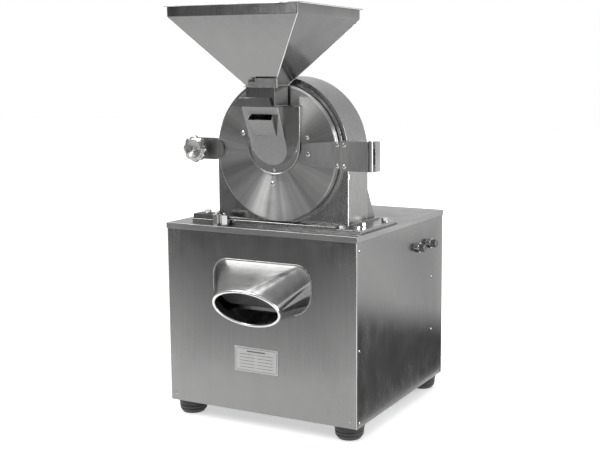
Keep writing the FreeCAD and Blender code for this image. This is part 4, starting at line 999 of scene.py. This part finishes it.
def make_floor():
    edge = FLOOR_REACH
    sketch = Sketch()
    sketch.add(rectangle_path(-edge, edge, -edge, edge, 0), [(0, 1, 2, 3)])
    mesh = sketch.mesh("floor")
    made, tree, shader, at = start_material("pale_floor")
    shade = remap(tree, noise_value(tree, at, 3.0), *FLOOR_TONE)
    tree.links.new(grey(tree, shade, WHITE), shader.inputs["Base Color"])
    shader.inputs["Roughness"].default_value = 0.7
    shader.inputs["Emission Color"].default_value = (*WHITE, 1.0)
    shader.inputs["Emission Strength"].default_value = FLOOR_GLOW
    mesh.materials.append(made)
    floor = bpy.data.objects.new("floor", mesh)
    bpy.context.scene.collection.objects.link(floor)


HORIZON_FRONT = 0.16                 # what polished faces see in front of the machine, at eye level
HORIZON_BACK = 0.95
OVERHEAD = 0.70
BELOW = 0.10


def mix_values(tree, factor, first, second):
    """first where the factor is 0, second where it is 1."""
    made = add_node(tree, "Mix", data_type="FLOAT")
    for socket, value in zip((made.inputs[0], made.inputs[2], made.inputs[3]), (factor, first, second)):
        if isinstance(value, (int, float)):
            socket.default_value = value
        else:
            tree.links.new(value, socket)
    return made.outputs[0]


def make_world():
    """White for the camera; for reflections a studio that is dark in front and light behind and above."""
    world = bpy.data.worlds.new("studio")
    world.use_nodes = True
    tree = world.node_tree
    toward = add_node(tree, "TexCoord").outputs["Generated"]
    parts = add_node(tree, "SeparateXYZ")
    tree.links.new(toward, parts.inputs["Vector"])
    horizon = remap(tree, parts.outputs["Y"], HORIZON_FRONT, HORIZON_BACK, -0.6, 0.6)
    upper = remap(tree, parts.outputs["Z"], 0.0, 1.0, 0.05, 0.75)
    lower = remap(tree, parts.outputs["Z"], 1.0, 0.0, -0.25, 0.0)
    shade = mix_values(tree, upper, horizon, OVERHEAD)
    shade = mix_values(tree, lower, shade, BELOW)
    glossy = add_node(tree, "Background")
    tree.links.new(shade, glossy.inputs["Color"])
    white = add_node(tree, "Background")
    white.inputs["Color"].default_value = (*WHITE, 1.0)
    seen = add_node(tree, "LightPath").outputs["Is Camera Ray"]
    mixed = add_node(tree, "MixShader")
    tree.links.new(seen, mixed.inputs["Fac"])
    tree.links.new(glossy.outputs["Background"], mixed.inputs[1])
    tree.links.new(white.outputs["Background"], mixed.inputs[2])
    tree.links.new(mixed.outputs["Shader"], tree.nodes["World Output"].inputs["Surface"])
    bpy.context.scene.world = world


CARD_Z = 4 * MM


def card(name, x0, x1, y0, y1, fade, tones):
    """A glowing card on the floor that only polished faces see, a painted reflection of the floor's light and
    shade; its brightness fades along Y between two lines.
    """
    sketch = Sketch()
    sketch.add(rectangle_path(x0, x1, y0, y1, CARD_Z), [(0, 1, 2, 3)])
    mesh = sketch.mesh(name)
    made, tree, shader, at = start_material(name)
    parts = add_node(tree, "SeparateXYZ")
    tree.links.new(at, parts.inputs["Vector"])
    shader.inputs["Base Color"].default_value = (0, 0, 0, 1)
    shader.inputs["Specular IOR Level"].default_value = 0.0
    shader.inputs["Emission Color"].default_value = (*WHITE, 1.0)
    tone = remap(tree, parts.outputs["Y"], *tones, *fade)
    tree.links.new(tone, shader.inputs["Emission Strength"])
    mesh.materials.append(made)
    obj = bpy.data.objects.new(name, mesh)
    bpy.context.scene.collection.objects.link(obj)
    obj.visible_camera = False
    obj.visible_diffuse = False
    obj.visible_shadow = False
    obj.visible_transmission = False


def make_studio():
    make_camera()
    make_floor()
    make_world()
    # x from and to, y from and to, the two lines of the fade, the tones at them
    # The right card's dark near end stands in for the machine's shadow on the floor behind it: a painted
    # reflection of shade.
    card("floor_seen_right", 0.36, 6.0, -0.6, 6.0, (0.85, 1.25), (0.14, 0.95))
    card("floor_seen_back", -6.0, 0.35, 0.9, 6.0, (1.0, 3.0), (0.40, 0.60))
    card("floor_seen_front", -6.0, 0.35, -9.0, -0.8, (-3.1, -0.85), (0.12, 1.20))
    soft_sun("ceiling", (-0.8, -1.0, 3.0), 1.2, 70)
    # place, target, size, watts
    gloss_light("overhead", (-0.4, -1.2, 2.7), (0, -0.2, 0.7), (0.8, 0.4), 14)
    gloss_light("front_left", (-0.95, -2.5, 1.85), (0, -0.2, 0.8), (0.30, 0.9), 12)
    gloss_light("upper_left", (-1.3, -0.9, 2.6), (0, -0.2, 0.7), (1.0, 1.2), 38)
    gloss_light("right_strip", (2.6, 0.35, 0.9), (0, 0.35, 0.7), (1.2, 2.2), 110)
    bpy.context.scene.view_settings.view_transform = "Standard"


make_studio()
